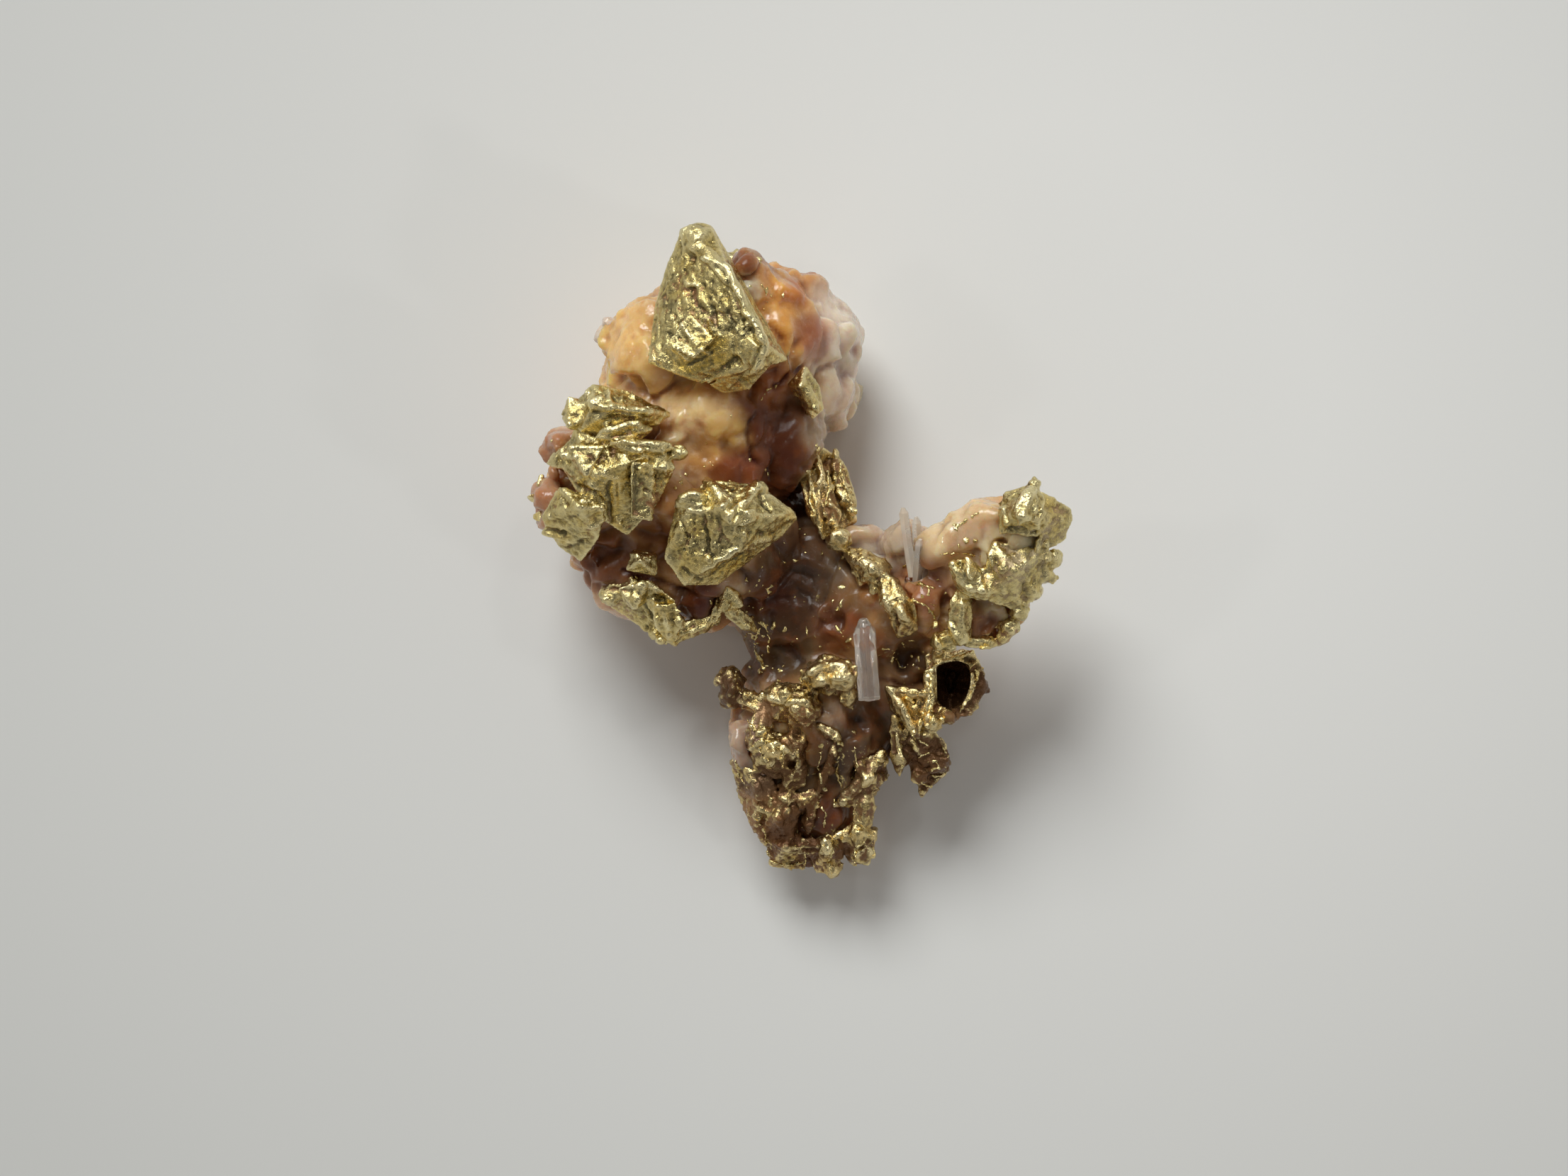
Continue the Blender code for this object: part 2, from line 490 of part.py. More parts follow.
def new_collection(name, parent):
    made = bpy.data.collections.new(name)
    parent.children.link(made)
    return made


def grain_helpers(name, grains, parent, grow=0.0):
    collection = new_collection(name, parent)
    for number, grain in enumerate(grains):
        bm = bmesh.new()
        add_grain(bm, grain, grow)
        helper(f"{name}_{number}", bm, collection)
    return collection


def boolean(target, operation, other):
    """A Boolean with one object or with a collection of them."""
    modifier = target.modifiers.new(operation.title(), "BOOLEAN")
    modifier.operation = operation
    modifier.solver = "EXACT"
    if isinstance(other, bpy.types.Collection):
        modifier.operand_type = "COLLECTION"
        modifier.collection = other
    else:
        modifier.object = other


def gold_group(name, grains, part, helpers, pits=()):
    """One solid of gold crystals that have grown together."""
    bm = bmesh.new()
    add_grain(bm, grains[0])
    made = new_object(name, bm, part, GOLD)
    if len(grains) > 1:
        boolean(made, "UNION", grain_helpers(name + "_grain", grains[1:], helpers))
    if pits:
        boolean(made, "DIFFERENCE", grain_helpers(name + "_pit", pits, helpers))
    return made


def prism_mesh(foot, tip, radius, grow=0.0):
    """A six-sided quartz prism from foot to tip, with a blunt six-sided point."""
    foot, tip = Vector(foot), Vector(tip)
    point = TIP_SHARE * radius
    body = (tip - foot).length - point
    bm = bmesh.new()
    wide = radius + grow
    bmesh.ops.create_cone(bm, cap_ends=True, segments=6, radius1=wide, radius2=wide, depth=body + 2 * grow)
    top = max(bm.faces, key=lambda face: face.calc_center_median().z)
    bmesh.ops.inset_individual(bm, faces=[top], thickness=wide * (1 - TIP_WIDTH))
    bmesh.ops.translate(bm, vec=(0, 0, point), verts=top.verts)
    bmesh.ops.translate(bm, vec=(0, 0, body / 2), verts=bm.verts)
    turn = Vector((0, 0, 1)).rotation_difference(tip - foot).to_matrix().to_4x4()
    place = Matrix.Scale(MM, 4) @ Matrix.Translation(foot) @ turn
    bmesh.ops.transform(bm, matrix=place, verts=bm.verts)
    return bm


PRISM = ((1.52, -3.05, 3.30), (1.38, -1.34, 3.72))
SPRAY = [
    ((2.52, -0.55, 3.60), (2.58, 0.34, 4.30)),
    ((2.62, -0.50, 3.60), (2.80, 0.46, 3.95)),
    ((2.44, -0.45, 3.60), (2.22, 1.02, 3.80)),
    ((2.56, -0.45, 3.60), (2.50, 0.82, 4.02)),
]


def clear_quartz(part, helpers):
    """The long clear prism and the spray of small ones. Returns what the matrix leaves room for."""
    sockets = new_collection("prism_socket", helpers)
    new_object("clear_quartz_prism", prism_mesh(*PRISM, PRISM_RADIUS), part, CLEAR_QUARTZ)
    helper("prism_socket_long", prism_mesh(*PRISM, PRISM_RADIUS, FIT_GAP), sockets)
    spray = new_object("clear_quartz_spray", prism_mesh(*SPRAY[0], SPRAY_RADIUS), part, CLEAR_QUARTZ)
    others = new_collection("spray_needle", helpers)
    for number, (foot, tip) in enumerate(SPRAY):
        if number:
            helper(f"spray_needle_{number}", prism_mesh(foot, tip, SPRAY_RADIUS), others)
        helper(f"spray_socket_{number}", prism_mesh(foot, tip, SPRAY_RADIUS, FIT_GAP), sockets)
    boolean(spray, "UNION", others)
    return sockets


def below_ground(helpers):
    bm = bmesh.new()
    bmesh.ops.create_cube(bm, size=1.0)
    size = Matrix.Diagonal((GROUND_WIDTH, GROUND_WIDTH, GROUND_DEPTH, 1))
    place = Matrix.Scale(MM, 4) @ Matrix.Translation((0, 0, -GROUND_DEPTH / 2)) @ size
    bmesh.ops.transform(bm, matrix=place, verts=bm.verts)
    return helper("below_ground", bm, helpers)


def quartz_matrix(part, helpers, sockets):
    """The quartz lumps run together, broken into facets, and opened for the crystals that sit in them."""
    bm = bmesh.new()
    for grain in MATRIX:
        single = bmesh.new()
        add_grain(single, grain)
        mesh = bpy.data.meshes.new("lump")
        single.to_mesh(mesh)
        single.free()
        bm.from_mesh(mesh)
        bpy.data.meshes.remove(mesh)
    made = new_object("quartz_matrix", bm, part, STAINED_QUARTZ)
    remesh = made.modifiers.new("Run together", "REMESH")
    remesh.mode = "VOXEL"
    remesh.voxel_size = QUARTZ_VOXEL * MM
    facets = made.modifiers.new("Facets", "DECIMATE")
    facets.ratio = QUARTZ_KEPT
    boolean(made, "DIFFERENCE", below_ground(helpers))
    for collection in sockets:
        boolean(made, "DIFFERENCE", collection)


GOLD_GROUPS = {
    "gold_crown_crystal": (CROWN, ()),
    "gold_rear_crystals": (REAR_CRYSTALS, ()),
    "gold_left_cluster": (LEFT_CLUSTER, LEFT_CLUSTER_PITS),
    "gold_middle_crystal": (MIDDLE_CRYSTAL, MIDDLE_CRYSTAL_PITS),
    "gold_lower_rim": (LOWER_RIM, ()),
    "gold_small_crystal": (SMALL_CRYSTAL, ()),
    "gold_shoulder_plate": (SHOULDER_PLATE, ()),
    "gold_neck": (NECK, ()),
    "gold_arm": (ARM, ()),
    "gold_spur": (SPUR, SPUR_PITS),
    "gold_stem": (STEM, STEM_PITS),
}


def build():
    for old in list(bpy.data.objects):
        bpy.data.objects.remove(old)
    part = new_collection("gold_nugget", bpy.context.scene.collection)
    helpers = new_collection("cutters", bpy.context.scene.collection)
    sockets = [clear_quartz(part, helpers)]
    for name, (grains, pits) in GOLD_GROUPS.items():
        gold_group(name, grains, part, helpers, pits)
        sockets.append(grain_helpers(name + "_socket", grains, helpers, FIT_GAP))
    quartz_matrix(part, helpers, sockets)


build()
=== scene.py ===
# Gold nugget: crystallised gold on iron-stained quartz, lying on a pale surface.
import math

import bmesh
import bpy
import numpy as np
from mathutils import Matrix, Vector, bvhtree, kdtree


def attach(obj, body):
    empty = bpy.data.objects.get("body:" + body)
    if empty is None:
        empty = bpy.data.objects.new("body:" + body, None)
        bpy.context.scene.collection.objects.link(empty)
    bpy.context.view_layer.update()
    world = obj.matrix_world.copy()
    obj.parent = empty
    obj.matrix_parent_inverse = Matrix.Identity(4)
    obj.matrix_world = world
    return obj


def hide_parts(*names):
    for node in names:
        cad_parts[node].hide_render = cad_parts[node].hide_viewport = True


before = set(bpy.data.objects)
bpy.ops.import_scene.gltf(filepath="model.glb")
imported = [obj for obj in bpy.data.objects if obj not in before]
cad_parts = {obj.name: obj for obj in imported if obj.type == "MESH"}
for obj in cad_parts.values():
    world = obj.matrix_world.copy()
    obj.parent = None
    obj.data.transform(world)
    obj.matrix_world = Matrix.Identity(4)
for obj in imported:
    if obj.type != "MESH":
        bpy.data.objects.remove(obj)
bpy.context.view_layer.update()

mm = 0.001  # shapes are made in millimetres, and scaled to metres at the end
scene = bpy.context.scene
print("frame loaded:", len(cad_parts), "nodes")


# Noise, as arrays. Points and sizes are in millimetres.

def latticeValues(cells, seed):
    mixed = cells[:, 0] * 374761393 + cells[:, 1] * 668265263 + cells[:, 2] * 1440662683 + seed * 1274126177
    mixed &= 0xFFFFFFFF
    mixed = ((mixed ^ (mixed >> 13)) * 1274126177) & 0xFFFFFFFF
    mixed = ((mixed ^ (mixed >> 15)) * 2246822519) & 0xFFFFFFFF
    return (mixed ^ (mixed >> 16)) / 0xFFFFFFFF


def softNoise(points, size, seed):
    scaled = points / size
    low = np.floor(scaled).astype(np.int64)
    share = scaled - low
    share = share * share * (3 - 2 * share)
    total = np.zeros(len(points))
    for corner in np.ndindex(2, 2, 2):
        weight = np.prod(np.where(corner, share, 1 - share), axis=1)
        total += weight * latticeValues(low + np.array(corner), seed)
    return 2 * total - 1


def layeredNoise(points, size, seed, layers):
    total = sum(softNoise(points, size / 2 ** k, seed + k) / 2 ** k for k in range(layers))
    return total / sum(0.5 ** k for k in range(layers))


def nearestCell(points, size, seed):  # distance to the nearest cell centre, and that cell's value and centre
    scaled = points / size
    low = np.floor(scaled).astype(np.int64)
    best = np.full(len(points), 9.0)
    value = np.zeros(len(points))
    centre = np.zeros_like(points)
    for corner in np.ndindex(3, 3, 3):
        cell = low + np.array(corner) - 1
        spot = cell + np.stack([latticeValues(cell, seed + axis) for axis in range(3)], axis=1)
        distance = np.linalg.norm(scaled - spot, axis=1)
        closer = distance < best
        best = np.where(closer, distance, best)
        value = np.where(closer, latticeValues(cell, seed + 7), value)
        centre = np.where(closer[:, None], spot * size, centre)
    return best, value, centre


def noiseVectors(points, size, seed, layers):  # noise along each of the three axes
    return np.stack([layeredNoise(points, size, seed + axis, layers) for axis in range(3)], axis=1)


def webOf(points, size, seed, width):  # thin branching lines, where the noise crosses zero
    return 1 - np.clip(np.abs(layeredNoise(points, size, seed, 3)) / width, 0, 1)


# Meshes, as arrays in millimetres.

def pointsOf(mesh):
    points = np.empty(len(mesh.vertices) * 3)
    mesh.vertices.foreach_get("co", points)
    return points.reshape(-1, 3)


def normalsOf(mesh):
    normals = np.empty(len(mesh.vertices) * 3)
    mesh.vertex_normals.foreach_get("vector", normals)
    return normals.reshape(-1, 3)


def edgesOf(mesh):
    edges = np.empty(len(mesh.edges) * 2, np.int32)
    mesh.edges.foreach_get("vertices", edges)
    return edges.reshape(-1, 2)


def trianglesOf(mesh):
    mesh.calc_loop_triangles()
    faces = np.empty(len(mesh.loop_triangles) * 3, np.int32)
    mesh.loop_triangles.foreach_get("vertices", faces)
    return faces.reshape(-1, 3)


def nodeArrays(node):  # a node's solid, with its doubled corners joined
    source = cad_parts[node]
    place = np.array(source.matrix_world)
    points = (pointsOf(source.data) @ place[:3, :3].T + place[:3, 3]) / mm
    points, index = np.unique(np.round(points, 4), axis=0, return_inverse=True)
    return points, index.reshape(-1)[trianglesOf(source.data)]


def joined(parts):
    points, faces, start = [], [], 0
    for somePoints, someFaces in parts:
        points.append(somePoints)
        faces.append(someFaces + start)
        start += len(somePoints)
    return np.concatenate(points), np.concatenate(faces)


def meshFrom(name, points, faces):
    mesh = bpy.data.meshes.new(name)
    mesh.from_pydata([tuple(p) for p in points], [], [tuple(f) for f in faces])
    mesh.update()
    return mesh


def fused(name, points, faces, voxel):  # overlapping solids as one skin of small quads
    solid = bpy.data.objects.new(name, meshFrom(name, points, faces))
    scene.collection.objects.link(solid)
    remesh = solid.modifiers.new("Fuse", "REMESH")
    remesh.mode = "VOXEL"
    remesh.voxel_size = voxel
    graph = bpy.context.evaluated_depsgraph_get()
    mesh = bpy.data.meshes.new_from_object(solid.evaluated_get(graph))
    old = solid.data
    bpy.data.objects.remove(solid)
    bpy.data.meshes.remove(old)
    mesh.name = name
    return mesh


def placePoints(mesh, points):
    mesh.vertices.foreach_set("co", points.ravel())
    mesh.update()


def averaged(values, edges, count):  # mean of each vertex's neighbours
    if values.ndim > 1:
        return np.stack([averaged(values[:, k], edges, count) for k in range(values.shape[1])], axis=1)
    first, second = edges.T
    total = np.bincount(first, values[second], count) + np.bincount(second, values[first], count)
    return total / np.maximum(np.bincount(edges.ravel(), minlength=count), 1)


def smoothed(values, edges, rounds, share=0.5):
    for _ in range(rounds):
        values = values + share * (averaged(values, edges, len(values)) - values)
    return values


def storeValue(mesh, name, values):
    layer = mesh.attributes.new(name, "FLOAT", "POINT")
    layer.data.foreach_set("value", values.astype(np.float32))


def storeColour(mesh, name, colours):
    layer = mesh.color_attributes.new(name, "FLOAT_COLOR", "POINT")
    full = np.ones((len(colours), 4), np.float32)
    full[:, :3] = colours
    layer.data.foreach_set("color", full.ravel())


sharpEdges = {"leastTurn": 28, "step": 0.03}  # degrees between the faces, and millimetres from spot to spot


def sharpEdgePoints(points, faces):  # spots along the outward-pointing edges of a solid
    corners = points[faces]
    normals = np.cross(corners[:, 1] - corners[:, 0], corners[:, 2] - corners[:, 0])
    normals /= np.maximum(np.linalg.norm(normals, axis=1, keepdims=True), 1e-12)
    middles = corners.mean(axis=1)
    owners = {}
    for number, face in enumerate(faces):
        for a, b in ((0, 1), (1, 2), (2, 0)):
            owners.setdefault(tuple(sorted((face[a], face[b]))), []).append(number)
    found = []
    for (a, b), pair in owners.items():
        if len(pair) != 2:
            continue
        first, second = pair
        turn = math.degrees(math.acos(np.clip(normals[first] @ normals[second], -1, 1)))
        outward = (middles[second] - middles[first]) @ normals[first] < 0
        if turn > sharpEdges["leastTurn"] and outward:
            count = max(2, int(np.linalg.norm(points[b] - points[a]) / sharpEdges["step"]))
            found.append(points[a] + np.linspace(0, 1, count)[:, None] * (points[b] - points[a]))
    return np.concatenate(found)


def distanceTo(spots, points):
    tree = kdtree.KDTree(len(spots))
    for number, spot in enumerate(spots):
        tree.insert(spot, number)
    tree.balance()
    return np.array([tree.find(p)[2] for p in points])


octahedronPoints = np.array([(1, 0, 0), (-1, 0, 0), (0, 1, 0), (0, -1, 0), (0, 0, 1), (0, 0, -1)], float)
octahedronFaces = np.array(
    [(0, 2, 4), (2, 1, 4), (1, 3, 4), (3, 0, 4), (2, 0, 5), (1, 2, 5), (3, 1, 5), (0, 3, 5)]
)


def turned(tilt, toward, spin):  # the axes of a group of crystals
    return np.array(
        Matrix.Rotation(math.radians(toward), 3, "Z")
        @ Matrix.Rotation(math.radians(tilt), 3, "Y")
        @ Matrix.Rotation(math.radians(spin), 3, "Z")
    )


growthJitter = 9  # degrees


def growthCrystals(points, faces, settings, random):  # small octahedra that all share the group's axes
    corners = points[faces]
    areas = np.linalg.norm(np.cross(corners[:, 1] - corners[:, 0], corners[:, 2] - corners[:, 0]), axis=1) / 2
    count = int(settings["perArea"] * areas.sum())
    chosen = random.choice(len(faces), count, p=areas / areas.sum())
    shares = random.dirichlet((1, 1, 1), count)
    spots = (corners[chosen] * shares[:, :, None]).sum(axis=1)
    small, large = settings["sizes"]
    sizes = small * (large / small) ** random.random_sample(count) ** 2.2
    axes = turned(*settings["axes"])
    made = []
    for spot, size in zip(spots, sizes):
        lean = turned(random.uniform(0, growthJitter), random.uniform(0, 360), 0) @ axes
        stretch = random.uniform(0.75, 1.3, 3)
        made.append((spot + (octahedronPoints * stretch * size) @ lean.T, octahedronFaces))
    return made


def asPiece(name, mesh, material, nodes=()):
    mesh.transform(Matrix.Scale(mm, 4))
    mesh.polygons.foreach_set("use_smooth", [True] * len(mesh.polygons))
    mesh.update()
    mesh.materials.clear()
    mesh.materials.append(material)
    piece = bpy.data.objects.new(name, mesh)
    scene.collection.objects.link(piece)
    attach(piece, "root")
    if nodes:
        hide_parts(*nodes)
    return piece


# Materials. Their colours and masks are stored on the meshes.

def newGroup(name, inputs, outputs):
    group = bpy.data.node_groups.new(name, "ShaderNodeTree")
    for label, kind, value in inputs:
        socket = group.interface.new_socket(label, in_out="INPUT", socket_type=kind)
        socket.default_value = value
    for label, kind in outputs:
        group.interface.new_socket(label, in_out="OUTPUT", socket_type=kind)
    entry = group.nodes.new("NodeGroupInput")
    leave = group.nodes.new("NodeGroupOutput")
    return group, entry.outputs, leave.inputs


def addNode(tree, kind, **values):
    node = tree.nodes.new(kind)
    for label, value in values.items():
        setattr(node, label, value)
    return node


def feed(tree, socket, value):  # a fixed value, or a link from another node
    if isinstance(value, (int, float, tuple)):
        socket.default_value = value
    else:
        tree.links.new(value, socket)


def noiseNode(tree, scale, detail, roughness, where):  # scale is in lumps to a metre
    node = addNode(tree, "ShaderNodeTexNoise")
    node.inputs["Scale"].default_value = scale
    node.inputs["Detail"].default_value = detail
    node.inputs["Roughness"].default_value = roughness
    tree.links.new(where, node.inputs["Vector"])
    return node.outputs["Fac"]


def mathNode(tree, operation, first, second, clamp=False):
    node = addNode(tree, "ShaderNodeMath", operation=operation, use_clamp=clamp)
    feed(tree, node.inputs[0], first)
    feed(tree, node.inputs[1], second)
    return node.outputs[0]


def mixColours(tree, share, first, second):
    node = addNode(tree, "ShaderNodeMix", data_type="RGBA")
    for number, value in ((0, share), (6, first), (7, second)):  # the sockets of the colour mix
        feed(tree, node.inputs[number], value)
    return node.outputs[2]


def rangeNode(tree, value, low, high, toLow=0.0, toHigh=1.0):
    node = addNode(tree, "ShaderNodeMapRange")
    node.inputs["From Min"].default_value = low
    node.inputs["From Max"].default_value = high
    node.inputs["To Min"].default_value = toLow
    node.inputs["To Max"].default_value = toHigh
    tree.links.new(value, node.inputs["Value"])
    return node.outputs["Result"]


def objectPoints(tree):
    return addNode(tree, "ShaderNodeTexCoord").outputs["Object"]


def stored(tree, name, output="Fac"):  # a value or a colour that the mesh carries
    return addNode(tree, "ShaderNodeAttribute", attribute_name=name).outputs[output]


def newMaterial(name):
    material = bpy.data.materials.new(name)
    material.use_nodes = True
    return material, material.node_tree, material.node_tree.nodes["Principled BSDF"]


def bumpNormal(tree, height, strength, distance):  # distance in millimetres
    bump = addNode(tree, "ShaderNodeBump")
    bump.inputs["Strength"].default_value = strength
    bump.inputs["Distance"].default_value = distance * mm
    tree.links.new(height, bump.inputs["Height"])
    return bump.outputs["Normal"]


def goldSurfaceGroup():  # native gold with tarnish and painted shade in its hollows, a painted highlight on its rims, and a stained film over parts of it
    group, given, made = newGroup(
        "goldSurface",
        [
            ("Bright", "NodeSocketColor", (0.95, 0.9, 0.7, 1)),
            ("Pale", "NodeSocketColor", (0.7, 0.6, 0.3, 1)),
            ("Rich", "NodeSocketColor", (0.85, 0.6, 0.2, 1)),
            ("Tarnish And Shade", "NodeSocketColor", (0.2, 0.13, 0.05, 1)),
            ("Tarnish Amount", "NodeSocketFloat", 0.3),
            ("Film", "NodeSocketColor", (0.10, 0.055, 0.02, 1)),
            ("Film Share", "NodeSocketFloat", 0.5),
            ("Rim Roughness", "NodeSocketFloat", 0.2),
            ("Face Roughness", "NodeSocketFloat", 0.4),
        ],
        [
            ("Colour", "NodeSocketColor"), ("Roughness", "NodeSocketFloat"),
            ("Metal", "NodeSocketFloat"), ("Height", "NodeSocketFloat"),
        ],
    )
    where = objectPoints(group)
    rim, pit, rich, film = (stored(group, name) for name in ("rim", "pit", "rich", "film"))
    stain = stored(group, "stain", "Color")
    patches = noiseNode(group, 1400, 4, 0.6, where)
    clouds = noiseNode(group, 3100, 3, 0.6, where)
    grain = noiseNode(group, 9000, 4, 0.65, where)
    fine = noiseNode(group, 19000, 3, 0.6, where)
    richShare = mathNode(group, "ADD", rangeNode(group, patches, 0.45, 0.7, 0, 0.6), rich, True)
    colour = mixColours(group, richShare, given["Pale"], given["Rich"])
    # darkening toward the dark colour: tarnish by grain and clouds, and painted shade in grooves, pits and
    # hollows from the pit mask, none on the rims
    tarnishAndShade = mathNode(group, "MULTIPLY", rangeNode(group, grain, 0.42, 0.66), given["Tarnish Amount"], True)
    tarnishAndShade = mathNode(group, "ADD", tarnishAndShade, rangeNode(group, clouds, 0.5, 0.68, 0, 0.45))
    tarnishAndShade = mathNode(group, "ADD", tarnishAndShade, pit, True)
    clean = mathNode(group, "SUBTRACT", 1.0, rim, True)
    colour = mixColours(group, mathNode(group, "MULTIPLY", tarnishAndShade, clean, True), colour, given["Tarnish And Shade"])
    # painted highlight: the rims are mixed toward the lightest colour
    colour = mixColours(group, mathNode(group, "MULTIPLY", rim, 0.6), colour, given["Bright"])
    ragged = mathNode(group, "ADD", film, rangeNode(group, grain, 0.3, 0.7, -0.35, 0.35))
    filmShare = rangeNode(group, ragged, 0.25, 0.75)
    filmColour = mixColours(group, given["Film Share"], stain, given["Film"])
    colour = mixColours(group, filmShare, colour, filmColour)
    group.links.new(colour, made["Colour"])
    group.links.new(rangeNode(group, filmShare, 0.3, 1.0, 1.0, 0.5), made["Metal"])
    span = mathNode(group, "SUBTRACT", given["Face Roughness"], given["Rim Roughness"])
    rough = mathNode(group, "ADD", given["Rim Roughness"], mathNode(group, "MULTIPLY", span, clean))
    wobble = rangeNode(group, fine, 0.3, 0.7, -0.07, 0.07)
    group.links.new(mathNode(group, "ADD", rough, wobble, True), made["Roughness"])
    height = mathNode(group, "ADD", grain, mathNode(group, "MULTIPLY", fine, 0.45))
    group.links.new(height, made["Height"])
    return group


goldSurface = goldSurfaceGroup()

# each finish's lightest colour is a painted highlight for the rims, and its dark tarnish colour also paints
# shade into the hollows
goldFinishes = {
    "brightGold": {
        "Bright": (0.98, 0.89, 0.55, 1), "Pale": (0.80, 0.655, 0.285, 1), "Rich": (0.86, 0.60, 0.13, 1),
        "Tarnish And Shade": (0.16, 0.13, 0.06, 1), "Tarnish Amount": 0.6,
        "Film": (0.36, 0.26, 0.12, 1), "Film Share": 0.25, "Rim Roughness": 0.13, "Face Roughness": 0.25,
    },
    "brownGold": {
        "Bright": (0.97, 0.87, 0.54, 1), "Pale": (0.77, 0.585, 0.235, 1), "Rich": (0.80, 0.48, 0.105, 1),
        "Tarnish And Shade": (0.085, 0.05, 0.02, 1), "Tarnish Amount": 0.75,
        "Film": (0.18, 0.080, 0.024, 1), "Film Share": 0.6, "Rim Roughness": 0.13, "Face Roughness": 0.24,
    },
}
goldBump = {"strength": 0.8, "distance": 0.04}


def goldMaterial(name):
    material, tree, shader = newMaterial(name)
    surface = addNode(tree, "ShaderNodeGroup", node_tree=goldSurface)
    for label, value in goldFinishes[name].items():
        surface.inputs[label].default_value = value
    tree.links.new(surface.outputs["Colour"], shader.inputs["Base Color"])
    tree.links.new(surface.outputs["Roughness"], shader.inputs["Roughness"])
    tree.links.new(surface.outputs["Metal"], shader.inputs["Metallic"])
    tree.links.new(bumpNormal(tree, surface.outputs["Height"], **goldBump), shader.inputs["Normal"])
    return material


quartzFinish = {
    "rust": (0.36, 0.095, 0.018, 1), "milk": (0.95, 0.84, 0.66, 1), "leafGold": (0.78, 0.62, 0.26, 1),
    "Coat Roughness": 0.06, "Coat IOR": 1.54, "Specular IOR Level": 0.26,
    "Subsurface Weight": 0.8, "Subsurface Radius": (1.0, 0.6, 0.28), "Subsurface Scale": 0.75 * mm,
    "bump": {"strength": 0.3, "distance": 0.035},
}


def quartzMaterial():
    material, tree, shader = newMaterial("stainedQuartz")
    where = objectPoints(tree)
    stain, leaf = stored(tree, "stain", "Color"), stored(tree, "leaf")
    clouds = noiseNode(tree, 1300, 5, 0.6, where)
    veins = noiseNode(tree, 4200, 4, 0.6, where)
    grain = noiseNode(tree, 9000, 4, 0.65, where)
    rust = mixColours(tree, 0.6, stain, quartzFinish["rust"])
    colour = mixColours(tree, rangeNode(tree, clouds, 0.50, 0.68, 0, 0.7), stain, rust)
    milk = mixColours(tree, 0.3, stain, quartzFinish["milk"])
    paleness = rangeNode(tree, stain, 0.10, 0.45)  # milky veins show in the pale parts only
    veinShare = mathNode(tree, "MULTIPLY", rangeNode(tree, veins, 0.52, 0.72, 0, 0.8), paleness)
    colour = mixColours(tree, veinShare, colour, milk)
    ragged = mathNode(tree, "ADD", leaf, rangeNode(tree, grain, 0.3, 0.7, -0.35, 0.35))
    leafShare = rangeNode(tree, ragged, 0.42, 0.58)
    colour = mixColours(tree, leafShare, colour, quartzFinish["leafGold"])
    tree.links.new(colour, shader.inputs["Base Color"])
    tree.links.new(leafShare, shader.inputs["Metallic"])
    tree.links.new(rangeNode(tree, grain, 0.3, 0.7, 0.12, 0.30), shader.inputs["Roughness"])
    paleGloss = rangeNode(tree, stain, 0.08, 0.40, 0.10, 0.8)  # the dark stains are duller than the pale ones
    gloss = mathNode(tree, "MULTIPLY", paleGloss, rangeNode(tree, clouds, 0.4, 0.6, 0.4, 1))
    tree.links.new(gloss, shader.inputs["Coat Weight"])
    for label in ("Specular IOR Level", "Coat Roughness", "Coat IOR",
                  "Subsurface Weight", "Subsurface Radius", "Subsurface Scale"):
        shader.inputs[label].default_value = quartzFinish[label]
    normal = bumpNormal(tree, mathNode(tree, "ADD", grain, veins), **quartzFinish["bump"])
    tree.links.new(normal, shader.inputs["Normal"])
    tree.links.new(normal, shader.inputs["Coat Normal"])
    return material


clearFinishes = {
    "clearQuartz": {
        "deep": (0.97, 0.86, 0.76, 1), "milky": (0.99, 0.94, 0.86, 1),
        "seeThrough": 0.86, "roughness": (0.08, 0.26), "ior": 1.54,
    },
    "frostedQuartz": {
        "deep": (0.94, 0.81, 0.66, 1), "milky": (0.98, 0.92, 0.82, 1),
        "seeThrough": 0.45, "roughness": (0.10, 0.34), "ior": 1.54,
    },
}
clearBump = {"strength": 0.15, "distance": 0.02}


def clearQuartzMaterial(name):
    finish = clearFinishes[name]
    material, tree, shader = newMaterial(name)
    where = objectPoints(tree)
    milk = rangeNode(tree, noiseNode(tree, 2600, 4, 0.6, where), 0.42, 0.66)
    tree.links.new(mixColours(tree, milk, finish["deep"], finish["milky"]), shader.inputs["Base Color"])
    tree.links.new(rangeNode(tree, milk, 0, 1, *finish["roughness"]), shader.inputs["Roughness"])
    shader.inputs["IOR"].default_value = finish["ior"]
    shader.inputs["Transmission Weight"].default_value = finish["seeThrough"]
    grain = noiseNode(tree, 9000, 3, 0.5, where)
    tree.links.new(bumpNormal(tree, grain, **clearBump), shader.inputs["Normal"])
    return material


brightGold = goldMaterial("brightGold")
brownGold = goldMaterial("brownGold")
stainedQuartz = quartzMaterial()
clearQuartz = clearQuartzMaterial("clearQuartz")
frostedQuartz = clearQuartzMaterial("frostedQuartz")
print("materials made")


# Stains: where the iron and the smoke sit in the quartz.

